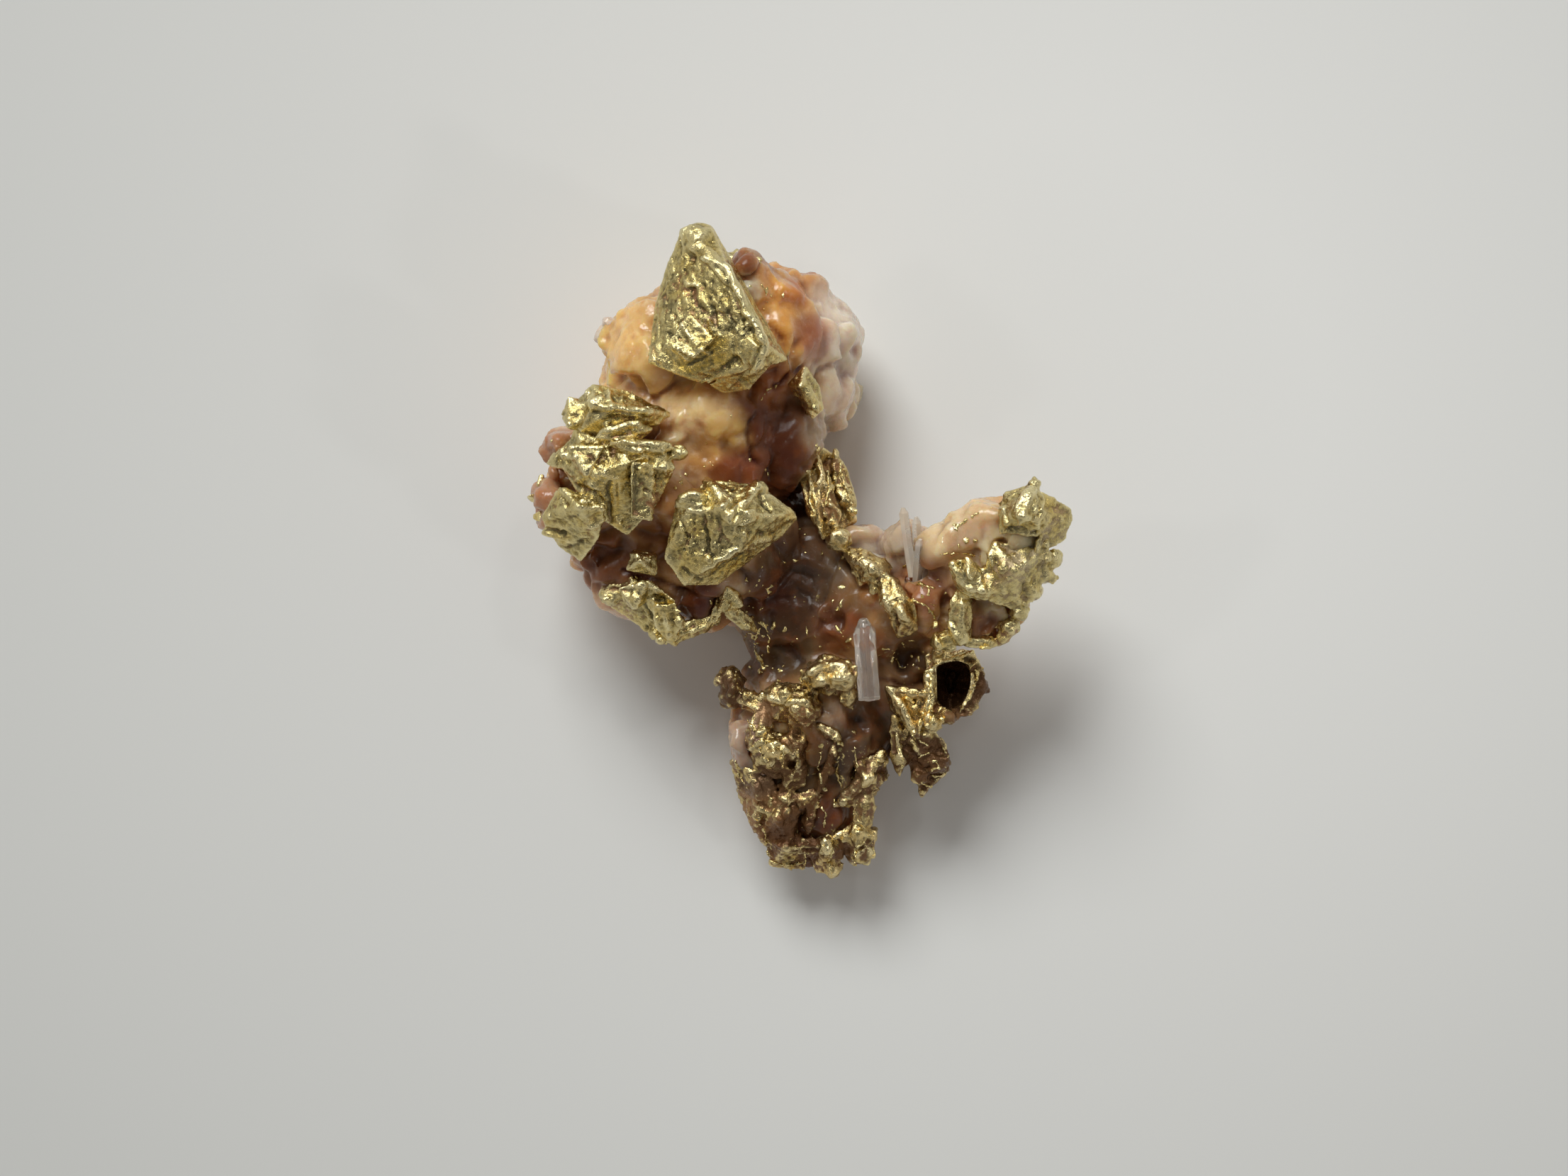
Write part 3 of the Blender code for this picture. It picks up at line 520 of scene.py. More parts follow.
baseStains = {
    "honey": (0.62, 0.33, 0.13), "milk": (0.80, 0.64, 0.46),
    "rust": (0.30, 0.10, 0.035), "smoke": (0.12, 0.065, 0.035),
}
stainZones = {  # centre in millimetres, radius, colour
    "honeyShoulder": ((-3.5, 4.3, 4.0), 1.2, (0.86, 0.54, 0.20)),
    "honeyLeft": ((-4.2, 4.3, 3.0), 0.9, (0.86, 0.51, 0.17)),
    "hollowLow": ((-1.95, 2.3, 4.4), 0.4, (0.64, 0.32, 0.10)),
    "honeyUnderCrown": ((-2.3, 3.6, 4.6), 0.7, (0.76, 0.45, 0.15)),
    "litHollow": ((-2.3, 3.05, 4.6), 0.75, (0.92, 0.64, 0.33)),
    "litHollowRight": ((-1.6, 2.6, 4.4), 0.55, (0.84, 0.50, 0.14)),
    "orangeShoulder": ((-0.4, 5.1, 4.2), 0.9, (0.82, 0.40, 0.10)),
    "redShoulder": ((-0.15, 5.5, 3.6), 0.35, (0.42, 0.09, 0.02)),
    "redShoulderEdge": ((0.25, 4.7, 3.6), 0.4, (0.40, 0.09, 0.02)),
    "amberCrystal": ((-1.12, 6.22, 4.5), 0.30, (0.19, 0.065, 0.028)),
    "palePatch": ((-1.1, 5.6, 4.8), 0.3, (0.62, 0.50, 0.34)),
    "paleCrust": ((0.8, 4.9, 1.8), 1.0, (0.90, 0.78, 0.64)),
    "paleCrustLow": ((0.9, 3.4, 1.4), 0.9, (0.82, 0.66, 0.50)),
    "underPlate": ((-0.55, 3.7, 4.2), 0.45, (0.40, 0.13, 0.04)),
    "maroonHollow": ((-0.5, 2.75, 3.9), 0.85, (0.11, 0.018, 0.006)),
    "maroonEdge": ((-0.35, 1.95, 3.6), 0.65, (0.085, 0.012, 0.005)),
    "rustHollow": ((-1.3, 1.85, 4.2), 0.6, (0.24, 0.060, 0.022)),
    "blackCrevice": ((0.1, 1.3, 3.0), 0.5, (0.03, 0.012, 0.010)),
    "leftEdge": ((-5.2, 2.3, 3.8), 0.5, (0.38, 0.20, 0.11)),
    "leftEdgeLow": ((-5.5, 1.2, 3.6), 0.5, (0.42, 0.22, 0.12)),
    "lowerHead": ((-4.1, -0.15, 3.6), 0.75, (0.17, 0.060, 0.026)),
    "lowerHeadRight": ((-3.0, 0.5, 3.8), 0.5, (0.24, 0.09, 0.03)),
    "pinkUnderRim": ((-3.8, -1.35, 2.0), 0.6, (0.76, 0.52, 0.34)),
    "underMiddle": ((-2.1, -1.05, 3.4), 0.5, (0.09, 0.018, 0.010)),
    "smokyRecess": ((0.1, -0.4, 3.0), 1.25, (0.050, 0.024, 0.012)),
    "smokyLow": ((-0.5, -1.9, 2.9), 0.9, (0.055, 0.026, 0.010)),
    "redRecess": ((-0.6, -0.8, 3.0), 0.5, (0.15, 0.045, 0.02)),
    "redRecessRight": ((0.75, -1.5, 3.0), 0.5, (0.20, 0.06, 0.022)),
    "amberRecess": ((1.2, -0.85, 3.1), 0.35, (0.26, 0.13, 0.05)),
    "brownPrismSide": ((2.1, -2.0, 3.2), 0.65, (0.18, 0.09, 0.04)),
    "redRoot": ((2.65, -0.75, 3.9), 0.65, (0.40, 0.16, 0.07)),
    "amberRoot": ((3.15, -1.3, 3.9), 0.3, (0.50, 0.30, 0.12)),
    "paleSaddle": ((1.9, 0.45, 2.8), 0.7, (0.58, 0.46, 0.34)),
    "peachArm": ((3.5, 0.55, 4.3), 0.85, (0.84, 0.62, 0.36)),
    "paleArm": ((5.1, -0.1, 3.9), 1.1, (0.62, 0.52, 0.32)),
    "paleArmLow": ((4.4, -0.9, 3.9), 0.5, (0.46, 0.34, 0.18)),
    "brownArm": ((3.95, -1.62, 3.7), 0.42, (0.22, 0.085, 0.03)),
    "brownStem": ((1.3, -3.9, 2.5), 1.2, (0.042, 0.017, 0.006)),
    "brownStemLeft": ((0.2, -4.7, 2.3), 0.9, (0.075, 0.038, 0.012)),
    "pinkStem": ((0.7, -3.42, 3.0), 0.28, (0.46, 0.32, 0.20)),
    "pinkStemEdge": ((-1.2, -3.95, 2.3), 0.5, (0.42, 0.32, 0.25)),
    "greyStemEdge": ((-0.9, -4.7, 2.3), 0.4, (0.20, 0.14, 0.09)),
    "redStem": ((0.6, -5.55, 2.0), 0.38, (0.12, 0.033, 0.015)),
    "brownFoot": ((0.2, -6.0, 1.8), 0.75, (0.085, 0.030, 0.014)),
    "spurBrown": ((3.0, -4.4, 2.2), 0.9, (0.075, 0.035, 0.015)),
    "spurDark": ((3.3, -2.8, 2.6), 0.55, (0.045, 0.020, 0.012)),
    "spurKnob": ((3.95, -2.85, 2.7), 0.3, (0.07, 0.03, 0.015)),
    "darkKnob": ((-1.5, -2.9, 2.4), 0.35, (0.030, 0.018, 0.012)),
    "neckOlive": ((0.35, 1.6, 3.0), 0.28, (0.50, 0.42, 0.20)),
    "neckBrown": ((0.7, 1.3, 3.0), 0.25, (0.34, 0.19, 0.07)),
    "neckTop": ((0.45, 2.6, 2.8), 0.45, (0.44, 0.32, 0.19)),
    "neckRight": ((1.05, 1.1, 2.8), 0.25, (0.50, 0.45, 0.24)),
    "besideCluster": ((-2.8, 1.1, 4.8), 0.4, (0.46, 0.22, 0.08)),
    "underMiddleRight": ((-0.85, -0.4, 3.0), 0.45, (0.10, 0.040, 0.020)),
    "stemTopLeft": ((-0.95, -2.3, 2.4), 0.45, (0.12, 0.060, 0.030)),
    "spurTop": ((2.4, -2.5, 2.4), 0.4, (0.09, 0.045, 0.020)),
    "backMilk": ((-2.4, 5.6, 1.5), 0.75, (0.82, 0.70, 0.54)),
    "backRust": ((-4.3, 4.4, 1.3), 0.7, (0.34, 0.12, 0.045)),
    "backSmoke": ((-1.2, 5.4, 1.0), 0.6, (0.22, 0.14, 0.10)),
    "leftMilk": ((-5.1, 2.9, 1.3), 0.7, (0.80, 0.66, 0.50)),
    "leftBrown": ((-4.8, 0.9, 1.2), 0.75, (0.28, 0.12, 0.05)),
    "lowMilk": ((-3.2, -0.9, 0.9), 0.6, (0.74, 0.60, 0.46)),
    "armUnder": ((3.8, 0.8, 1.9), 0.7, (0.50, 0.34, 0.18)),
    "stemUnder": ((1.4, -5.4, 0.8), 0.6, (0.30, 0.16, 0.08)),
}


stainSettings = {"wander": 0.22, "baseWeight": 0.12, "reach": 1.35}
deepening = (1, 1, 0.35)  # a stain reaches further down than it spreads


def stainColours(points):
    asked = points + stainSettings["wander"] * noiseVectors(points, 0.7, 60, 3)
    total = np.full(len(points), stainSettings["baseWeight"])
    honey, milk, rust, smoke = (np.array(stain) for stain in baseStains.values())
    pale = np.clip(0.5 + 2.2 * layeredNoise(points, 1.6, 64, 3), 0, 1)[:, None]
    rusty = np.clip(2.6 * layeredNoise(points, 1.1, 65, 3), 0, 1)[:, None]
    smoky = np.clip(2.4 * layeredNoise(points, 1.3, 66, 3) - 0.35, 0, 1)[:, None]
    colours = honey + 0.4 * pale * (milk - honey)
    colours = colours + 0.75 * rusty * (rust - colours)
    colours = (colours + 0.8 * smoky * (smoke - colours)) * total[:, None]
    for centre, radius, colour in stainZones.values():
        away = np.linalg.norm((asked - centre) * deepening, axis=1)
        weight = np.clip(stainSettings["reach"] - away / radius, 0, 1) ** 2 / radius
        total += weight
        colours += weight[:, None] * np.array(colour)
    return colours / total[:, None]


# The gold. Spots are (x, y) in millimetres, seen from above.
# Ridges, grooves, strips and pits: height or depth, width, spots. Strips are flat and clean. Ridges also get
# a painted highlight, grooves and pits painted shade.
# Bare and film spots: spot, radius. Dark spots: spot, radius, amount; partly the piece's own dark colour and
# partly painted shade in hollows and slits.
# Axes: tilt, direction and spin of the small grown crystals. PerArea: how many to a square millimetre.
# Streaks: width, length, direction. Relief and film: how strong the fine relief and the stained film are.

plainGold = {  # what a gold piece has where its own settings say nothing else
    "voxel": 0.033, "rimWidth": 0.08, "rimHeight": 0.02, "hollow": 0.01,
    "ridges": [], "grooves": [], "strips": [], "pits": [],
    "bare": [], "filmSpots": [], "darkSpots": [], "opening": None,
}
goldPieces = {
    "gold_crown_crystal": {
        "material": brightGold, "seed": 11, "voxel": 0.030, "axes": (35, 250, 15), "perArea": 2.0,
        "sizes": (0.05, 0.13), "rimWidth": 0.09, "hollow": 0.012, "streaks": (0.08, 0.26, 112), "relief": 0.8,
        "film": 0.22,
        "ridges": [
            (0.10, 0.075, [(-1.95, 6.22), (-1.72, 6.08), (-1.5, 5.98), (-1.36, 5.62), (-1.25, 5.42)]),
            (0.10, 0.065, [
                (-1.25, 5.42), (-1.12, 5.1), (-0.9, 4.76), (-0.70, 4.45), (-0.74, 4.2), (-0.92, 3.88),
            ]),
            (0.07, 0.06, [(-0.92, 3.88), (-1.2, 3.72), (-1.45, 3.6)]),
            (0.09, 0.085, [(-2.2, 6.4), (-2.12, 6.6), (-2.05, 6.72)]),
            (0.06, 0.06, [(-2.42, 6.78), (-2.38, 6.95)]),
            (0.06, 0.045, [(-2.68, 4.36), (-2.5, 4.26), (-2.35, 4.13)]),
            (0.05, 0.045, [(-2.45, 4.84), (-2.36, 4.66), (-2.25, 4.52)]),
            (0.05, 0.05, [(-2.15, 4.45), (-1.95, 4.46)]), (0.05, 0.04, [(-2.05, 4.3), (-1.9, 4.22)]),
            (0.05, 0.05, [(-2.35, 5.7), (-2.15, 5.66)]), (0.05, 0.05, [(-1.25, 4.2), (-1.15, 4.02)]),
        ],
        "grooves": [
            (0.09, 0.05, [(-1.66, 6.0), (-1.47, 5.82), (-1.38, 5.5), (-1.24, 5.2), (-1.18, 5.02)]),
            (0.10, 0.055, [
                (-1.12, 4.92), (-0.98, 4.66), (-0.8, 4.42), (-0.85, 4.12), (-1.1, 3.8), (-1.25, 3.66),
            ]),
            (0.07, 0.07, [(-2.26, 5.56), (-2.14, 5.3), (-2.02, 5.1)]),
            (0.05, 0.05, [(-1.82, 5.2), (-1.76, 4.8)]), (0.05, 0.045, [(-1.48, 5.08), (-1.36, 4.8)]),
            (0.05, 0.06, [(-2.72, 4.66), (-2.62, 4.5)]),
            (0.04, 0.04, [(-2.3, 4.0), (-2.0, 4.14), (-1.8, 4.24)]),
            (0.13, 0.10, [(-2.06, 3.62), (-1.8, 3.76), (-1.55, 3.92), (-1.35, 4.06)]),
        ],
        "strips": [
            (0, 0.20, [(-2.5, 3.84), (-2.1, 4.0), (-1.65, 4.24)]), (0, 0.15, [(-2.0, 4.42), (-1.6, 4.42)]),
        ],
        "pits": [(0.07, 0.08, [(-2.24, 6.2)]), (0.06, 0.07, [(-2.85, 5.45)]), (0.06, 0.07, [(-1.12, 3.62)])],
        "bare": [((-1.2, 4.6), 0.5), ((-1.6, 5.8), 0.4), ((-2.2, 6.7), 0.5)],
        "darkSpots": [((-2.2, 5.2), 0.75, 0.24), ((-1.7, 4.7), 0.5, 0.2)],
    },
    "gold_left_cluster": {
        "material": brightGold, "seed": 12, "voxel": 0.031, "axes": (40, 100, 40), "perArea": 3.0,
        "sizes": (0.05, 0.15), "hollow": 0.012, "streaks": (0.08, 0.20, 10), "relief": 1.0, "film": 0.12,
        "ridges": [
            (0.08, 0.08, [(-4.42, 3.38), (-4.35, 3.18), (-4.12, 3.26)]),
            (0.08, 0.06, [(-4.0, 3.4), (-3.92, 3.12), (-3.5, 3.03), (-3.1, 3.03), (-2.78, 2.98)]),
            (0.08, 0.07, [(-4.12, 2.58), (-3.8, 2.66), (-3.4, 2.76)]),
            (0.07, 0.04, [(-3.84, 2.38), (-3.3, 2.34), (-2.72, 2.3)]),
            (0.06, 0.05, [(-3.66, 2.1), (-3.5, 2.18), (-3.3, 2.16), (-3.2, 1.98)]),
            (0.07, 0.06, [(-4.95, 1.36), (-4.6, 1.24), (-4.35, 1.1), (-4.1, 1.0)]),
            (0.05, 0.05, [(-5.35, 0.66), (-4.9, 0.56), (-4.25, 0.62)]),
            (0.06, 0.05, [(-2.86, 2.25), (-2.8, 1.9), (-2.74, 1.72)]),
            (0.05, 0.06, [(-4.1, 1.7), (-3.8, 1.66)]), (0.05, 0.05, [(-4.95, 2.1), (-4.7, 2.04)]),
            (0.05, 0.045, [(-4.4, 1.5), (-4.2, 1.36)]),
        ],
        "grooves": [
            (0.05, 0.07, [(-4.3, 2.98), (-4.0, 2.94), (-3.5, 2.88)]),
            (0.05, 0.05, [(-3.9, 2.46), (-3.5, 2.52), (-3.1, 2.48)]),
            (0.09, 0.11, [(-3.42, 1.9), (-3.45, 1.3), (-3.4, 0.8)]),
            (0.05, 0.05, [(-3.98, 1.55), (-4.02, 0.95), (-3.98, 0.6)]),
            (0.07, 0.035, [(-3.2, 1.7), (-3.04, 1.62)]), (0.07, 0.035, [(-3.2, 1.34), (-3.0, 1.26)]),
            (0.07, 0.035, [(-3.16, 1.08), (-2.95, 1.04)]), (0.05, 0.04, [(-5.3, 0.55), (-4.95, 0.46)]),
            (0.06, 0.05, [(-4.86, 0.2), (-4.6, 0.24)]), (0.05, 0.05, [(-5.0, 1.8), (-4.7, 1.5), (-4.3, 1.3)]),
        ],
        "strips": [(0, 0.15, [(-3.80, 1.55), (-3.86, 1.0), (-3.84, 0.5)])],
        "pits": [(0.14, 0.08, [(-3.9, 2.2)]), (0.07, 0.07, [(-4.7, 0.25)]), (0.08, 0.08, [(-4.35, 2.0)])],
        "filmSpots": [((-2.85, 1.2), 0.36), ((-2.8, 0.7), 0.25)],
    },
    "gold_middle_crystal": {
        "material": brightGold, "seed": 13, "voxel": 0.030, "axes": (30, 30, 20), "perArea": 2.5,
        "sizes": (0.05, 0.16), "rimWidth": 0.09, "hollow": 0.012, "streaks": (0.09, 0.24, -62), "relief": 1.0,
        "film": 0.04,
        "ridges": [
            (0.08, 0.08, [(-2.52, 1.1), (-2.3, 1.26), (-2.05, 1.22)]),
            (0.10, 0.08, [(-1.9, 1.5), (-1.66, 1.3), (-1.48, 1.12), (-1.72, 0.98)]),
            (0.10, 0.07, [(-1.45, 0.84), (-1.2, 1.06), (-0.98, 1.28), (-0.86, 1.46)]),
            (0.08, 0.06, [(-1.3, 0.98), (-1.12, 0.86), (-0.98, 0.9)]),
            (0.08, 0.06, [(-1.2, 0.68), (-0.95, 0.74)]),
            (0.07, 0.05, [(-0.7, 1.26), (-0.45, 1.05), (-0.22, 0.9)]),
            (0.05, 0.05, [(-0.6, 0.32), (-0.9, 0.28)]),
            (0.06, 0.05, [(-2.02, -0.32), (-1.7, -0.08), (-1.32, 0.12), (-0.95, 0.16)]),
            (0.05, 0.05, [(-2.3, 0.95), (-2.05, 0.9)]),
            (0.05, 0.06, [(-2.75, -0.1), (-2.6, -0.42), (-2.4, -0.6)]),
        ],
        "grooves": [
            (0.04, 0.04, [(-2.44, 0.72), (-2.34, 0.4), (-2.3, 0.25)]),
            (0.05, 0.05, [(-2.06, 0.98), (-1.98, 0.6), (-1.9, 0.1), (-1.8, -0.02)]),
            (0.035, 0.04, [(-1.7, 0.9), (-1.6, 0.45), (-1.7, 0.25)]),
            (0.05, 0.05, [(-0.82, 1.2), (-0.6, 0.95)]),
            (0.05, 0.04, [(-1.85, -0.42), (-1.5, -0.16), (-1.15, -0.02)]),
            (0.05, 0.05, [(-2.5, -0.3), (-2.2, -0.42), (-2.05, -0.55)]),
        ],
        "strips": [(0, 0.12, [(-1.7, -0.3), (-1.3, -0.18), (-1.15, -0.1)])],
        "pits": [(0.06, 0.08, [(-1.24, 0.57)]), (0.06, 0.08, [(-1.08, 0.55)]), (0.06, 0.09, [(-0.78, 0.42)])],
    },
    "gold_lower_rim": {
        "material": brightGold, "seed": 14, "axes": (38, 200, 10), "perArea": 12.0, "sizes": (0.05, 0.17),
        "streaks": (0.09, 0.15, 30), "relief": 1.2, "film": 0.25,
        "ridges": [
            (0.06, 0.06, [(-3.3, -0.62), (-3.05, -0.6), (-2.98, -0.75)]),
            (0.06, 0.07, [(-3.0, -1.1), (-2.8, -1.3), (-2.75, -1.7)]),
        ],
        "grooves": [(0.05, 0.05, [(-3.9, -0.7), (-3.5, -0.75)]), (0.05, 0.05, [(-3.3, -1.0), (-3.1, -1.3)])],
        "pits": [(0.14, 0.09, [(-3.0, -0.88)]), (0.14, 0.08, [(-2.92, -0.92)])],
        "bare": [((-2.85, -1.3), 0.5), ((-3.2, -0.7), 0.4)],
    },
    "gold_small_crystal": {
        "material": brightGold, "seed": 15, "axes": (38, 20, 50), "perArea": 4.0, "sizes": (0.05, 0.10),
        "streaks": (0.08, 0.14, 0), "relief": 0.8, "film": 0.05,
        "ridges": [(0.05, 0.05, [(-3.6, 0.0), (-3.1, -0.04)])],
    },
    "gold_shoulder_plate": {
        "material": brightGold, "seed": 16, "axes": (20, 60, 30), "perArea": 5.0, "sizes": (0.05, 0.12),
        "rimHeight": 0.03, "streaks": (0.08, 0.14, 60), "relief": 1.2, "film": 0.15,
        "pits": [(0.10, 0.08, [(0.1, 3.5)])],
    },
    "gold_neck": {
        "material": brownGold, "seed": 17, "axes": (25, 160, 30), "perArea": 7.0, "sizes": (0.05, 0.16),
        "streaks": (0.07, 0.34, 100), "relief": 1.4, "film": 0.42,
        "ridges": [
            (0.09, 0.06, [(0.30, 2.2), (0.52, 1.75), (0.40, 1.35), (0.56, 0.9)]),
            (0.08, 0.05, [(0.80, 1.95), (0.74, 1.5), (0.98, 1.25), (0.86, 0.95)]),
            (0.07, 0.05, [(0.5, 1.6), (0.74, 1.46), (1.0, 1.5)]),
            (0.07, 0.05, [(0.42, 1.15), (0.7, 1.08), (0.95, 0.8)]),
            (0.09, 0.08, [(0.72, 0.4), (0.85, 0.48), (0.98, 0.34)]),
            (0.08, 0.08, [(1.05, 0.05), (1.2, -0.1), (1.5, -0.2), (1.8, -0.4)]),
            (0.09, 0.08, [(1.8, -0.62), (1.84, -0.9), (2.0, -1.15)]),
            (0.07, 0.06, [(2.1, -1.1), (2.3, -1.35)]),
        ],
        "grooves": [(0.10, 0.07, [(2.06, -1.2), (2.1, -1.45)]), (0.06, 0.06, [(0.6, 2.0), (0.66, 1.3)])],
        "strips": [(0, 0.12, [(0.45, 2.1), (0.5, 1.4), (0.55, 1.0)])],
        "pits": [(0.10, 0.07, [(1.15, 0.22)])],
        "bare": [((0.85, 0.38), 0.35), ((1.3, -0.2), 0.5), ((2.0, -1.0), 0.6)],
        "filmSpots": [((0.7, 1.9), 0.25), ((0.75, 1.0), 0.3)],
    },
    "gold_arm": {
        "material": brightGold, "seed": 18, "voxel": 0.034, "axes": (33, 300, 25), "perArea": 7.0,
        "sizes": (0.06, 0.22), "rimWidth": 0.09, "hollow": 0.015, "streaks": (0.09, 0.18, 40), "relief": 1.2,
        "film": 0.5,
        "ridges": [
            (0.08, 0.08, [(4.95, 1.4), (4.7, 1.15), (4.45, 0.85)]), (0.08, 0.08, [(4.3, 0.95), (4.35, 0.7)]),
            (0.06, 0.06, [(4.1, 1.2), (4.3, 1.28)]), (0.07, 0.06, [(4.6, 0.85), (4.9, 0.75)]),
            (0.08, 0.06, [(3.28, -0.2), (3.4, -0.5)]),
            (0.08, 0.05, [(3.55, -0.1), (3.8, -0.4), (3.92, -0.7)]),
            (0.07, 0.05, [(3.5, -0.55), (3.72, -0.9)]), (0.07, 0.06, [(4.02, 0.0), (4.08, -0.15)]),
            (0.08, 0.07, [(2.9, -1.65), (3.0, -1.95)]), (0.07, 0.06, [(3.25, -1.5), (3.45, -1.8)]),
        ],
        "grooves": [
            (0.14, 0.08, [(4.4, 0.52), (4.7, 0.48), (5.0, 0.42)]), (0.12, 0.09, [(4.32, 0.26), (4.45, 0.16)]),
            (0.09, 0.05, [(3.42, -0.2), (3.55, -0.6), (3.75, -1.0)]),
            (0.09, 0.06, [(3.7, -0.2), (3.9, -0.45)]),
        ],
        "bare": [((4.65, 0.95), 0.62), ((3.6, -0.55), 0.62), ((4.2, 1.2), 0.3), ((3.2, -1.7), 0.4)],
    },
    "gold_spur": {
        "material": brownGold, "seed": 19, "voxel": 0.034, "axes": (28, 80, 20), "perArea": 15.0,
        "sizes": (0.045, 0.15), "rimWidth": 0.07, "streaks": (0.08, 0.14, 20), "relief": 1.6, "film": 0.66,
        "ridges": [
            (0.08, 0.06, [(2.76, -2.5), (2.82, -3.0), (2.76, -3.45)]),
            (0.07, 0.06, [(2.8, -2.45), (3.1, -2.2), (3.5, -2.08), (3.9, -2.0)]),
            (0.07, 0.05, [(3.72, -2.55), (3.66, -3.0), (3.5, -3.3)]),
            (0.06, 0.045, [(1.9, -2.82), (2.3, -2.94), (2.74, -2.94)]),
            (0.06, 0.045, [(1.95, -2.9), (2.2, -3.2), (2.4, -3.65)]), (0.10, 0.08, [(2.88, -3.58)]),
            (0.06, 0.04, [(2.1, -3.9), (2.2, -4.3)]),
            (0.06, 0.04, [(2.45, -3.95), (2.6, -4.25), (2.95, -4.3)]),
            (0.06, 0.04, [(2.8, -4.6), (3.1, -4.5)]),
        ],
        "grooves": [
            (0.08, 0.07, [(2.5, -4.5), (2.8, -4.75), (3.1, -4.7)]), (0.07, 0.06, [(2.3, -4.1), (2.5, -4.4)]),
        ],
        "strips": [(0, 0.20, [(2.2, -3.02), (2.45, -3.1), (2.55, -3.3)])],
        "bare": [
            ((2.45, -3.15), 0.45), ((2.8, -3.0), 0.4), ((3.3, -2.15), 0.4), ((2.9, -3.6), 0.3),
            ((3.6, -3.0), 0.2),
        ],
        "filmSpots": [((3.98, -2.8), 0.3), ((3.4, -3.5), 0.25), ((2.75, -4.4), 0.6)],
        "darkSpots": [
            ((3.98, -2.8), 0.42, 1.9), ((3.42, -3.48), 0.26, 1.6), ((3.65, -2.2), 0.12, 1.0),
            ((2.6, -3.95), 0.2, 1.2), ((2.85, -4.5), 0.55, 1.1), ((2.2, -4.3), 0.3, 0.8),
            ((2.3, -3.85), 0.2, 0.7),
        ],
        "opening": {  # the hollow between the spur's ridges: heights, and how its wall fades
            "outline": [
                (2.95, -2.34), (3.40, -2.24), (3.66, -2.34), (3.69, -2.68), (3.62, -2.96), (3.46, -3.26),
                (3.22, -3.28), (2.97, -3.18),
            ],
            "bottom": 2.1, "top": 2.95, "fade": 0.12, "wall": 0.03,
        },
    },
    "gold_stem": {
        "material": brownGold, "seed": 20, "voxel": 0.034, "axes": (36, 140, 35), "perArea": 17.0,
        "sizes": (0.05, 0.17), "hollow": 0.015, "streaks": (0.09, 0.16, 70), "relief": 1.5, "film": 0.74,
        "ridges": [
            (0.08, 0.08, [(0.3, -2.5), (0.55, -2.3), (0.95, -2.35), (1.1, -2.6)]),
            (0.07, 0.06, [(0.35, -2.75), (0.7, -2.6), (1.0, -2.62)]),
            (0.07, 0.07, [(-0.6, -3.02), (-0.15, -3.15), (0.2, -3.05)]),
            (0.06, 0.06, [(-1.05, -3.55), (-0.85, -3.78), (-0.6, -3.7)]),
            (0.06, 0.05, [
                (-1.0, -4.1), (-0.8, -3.98), (-0.4, -4.05), (-0.12, -4.3), (-0.08, -4.6), (-0.25, -4.9),
            ]),
            (0.06, 0.07, [(1.2, -5.9), (1.4, -5.98), (1.6, -6.1)]),
            (0.06, 0.07, [(0.55, -6.2), (0.65, -6.3)]),
            (0.06, 0.05, [(1.25, -6.45), (1.45, -6.3), (1.58, -6.5)]),
            (0.06, 0.05, [(-0.62, -5.2), (-0.58, -5.35)]),
        ],
        "grooves": [
            (0.12, 0.08, [(-0.5, -3.8), (-0.2, -3.72), (0.0, -3.85)]),
            (0.12, 0.07, [(-0.14, -4.45), (-0.1, -4.65)]), (0.08, 0.08, [(0.3, -2.95), (0.9, -2.85)]),
            (0.07, 0.08, [(-0.9, -4.3), (-0.5, -4.4), (-0.4, -4.8)]),
        ],
        "strips": [(0, 0.15, [(0.0, -3.8), (0.25, -3.95)])],
        "bare": [
            ((0.7, -2.6), 0.62), ((-0.1, -3.0), 0.5), ((-0.65, -4.25), 0.36), ((1.4, -5.95), 0.3),
            ((0.65, -6.2), 0.2), ((1.6, -6.45), 0.14), ((-0.2, -6.6), 0.24), ((0.7, -6.8), 0.2),
        ],
        "filmSpots": [
            ((-1.5, -2.9), 0.42), ((0.1, -5.7), 0.5), ((-0.65, -3.3), 0.25), ((0.6, -4.6), 0.7),
            ((0.97, -6.4), 0.22), ((1.4, -6.45), 0.16), ((-0.7, -5.0), 0.4), ((-0.4, -5.95), 0.35),
        ],
        "darkSpots": [
            ((-1.5, -2.95), 0.36, 1.6), ((0.97, -6.4), 0.2, 1.4), ((1.42, -6.45), 0.15, 1.2),
            ((-0.62, -6.35), 0.18, 0.8), ((-0.1, -4.45), 0.09, 1.5), ((-0.1, -3.8), 0.14, 1.2),
            ((-0.65, -3.1), 0.15, 0.6), ((0.1, -5.9), 0.3, 0.6), ((0.9, -4.4), 0.5, 0.6),
            ((0.05, -6.35), 0.16, 0.7), ((-0.9, -5.2), 0.3, 0.5),
        ],
    },
    "gold_rear_crystals": {
        "material": brightGold, "seed": 21, "voxel": 0.036, "axes": (70, 95, 10), "perArea": 4.0,
        "sizes": (0.06, 0.16), "rimWidth": 0.10, "rimHeight": 0.025, "hollow": 0.02, "streaks": (0.1, 0.2, 0),
        "relief": 2.0, "film": 0.2,
    },
}
speckling = {"size": 0.14, "share": 0.22, "radius": 0.42, "depth": 0.026, "stray": 0.06}  # fine pits, with painted shade in them
facets = {"size": 0.20, "lean": 0.13, "coarseSize": 0.55, "coarseLean": 0.095}
relief = {"streaks": 0.022, "creases": 0.016, "grain": 0.010}  # heights in millimetres
terraces = {"width": 0.17, "most": 4}  # steps down from a crystal's edge to its hollow middle
calming = {"rims": 0.7, "strips": 0.8}  # how much smoother they are than the rest
highlighting = {"rims": 0.45, "ridges": 0.9, "edges": 0.8}  # painted highlight: how much lighter each is drawn
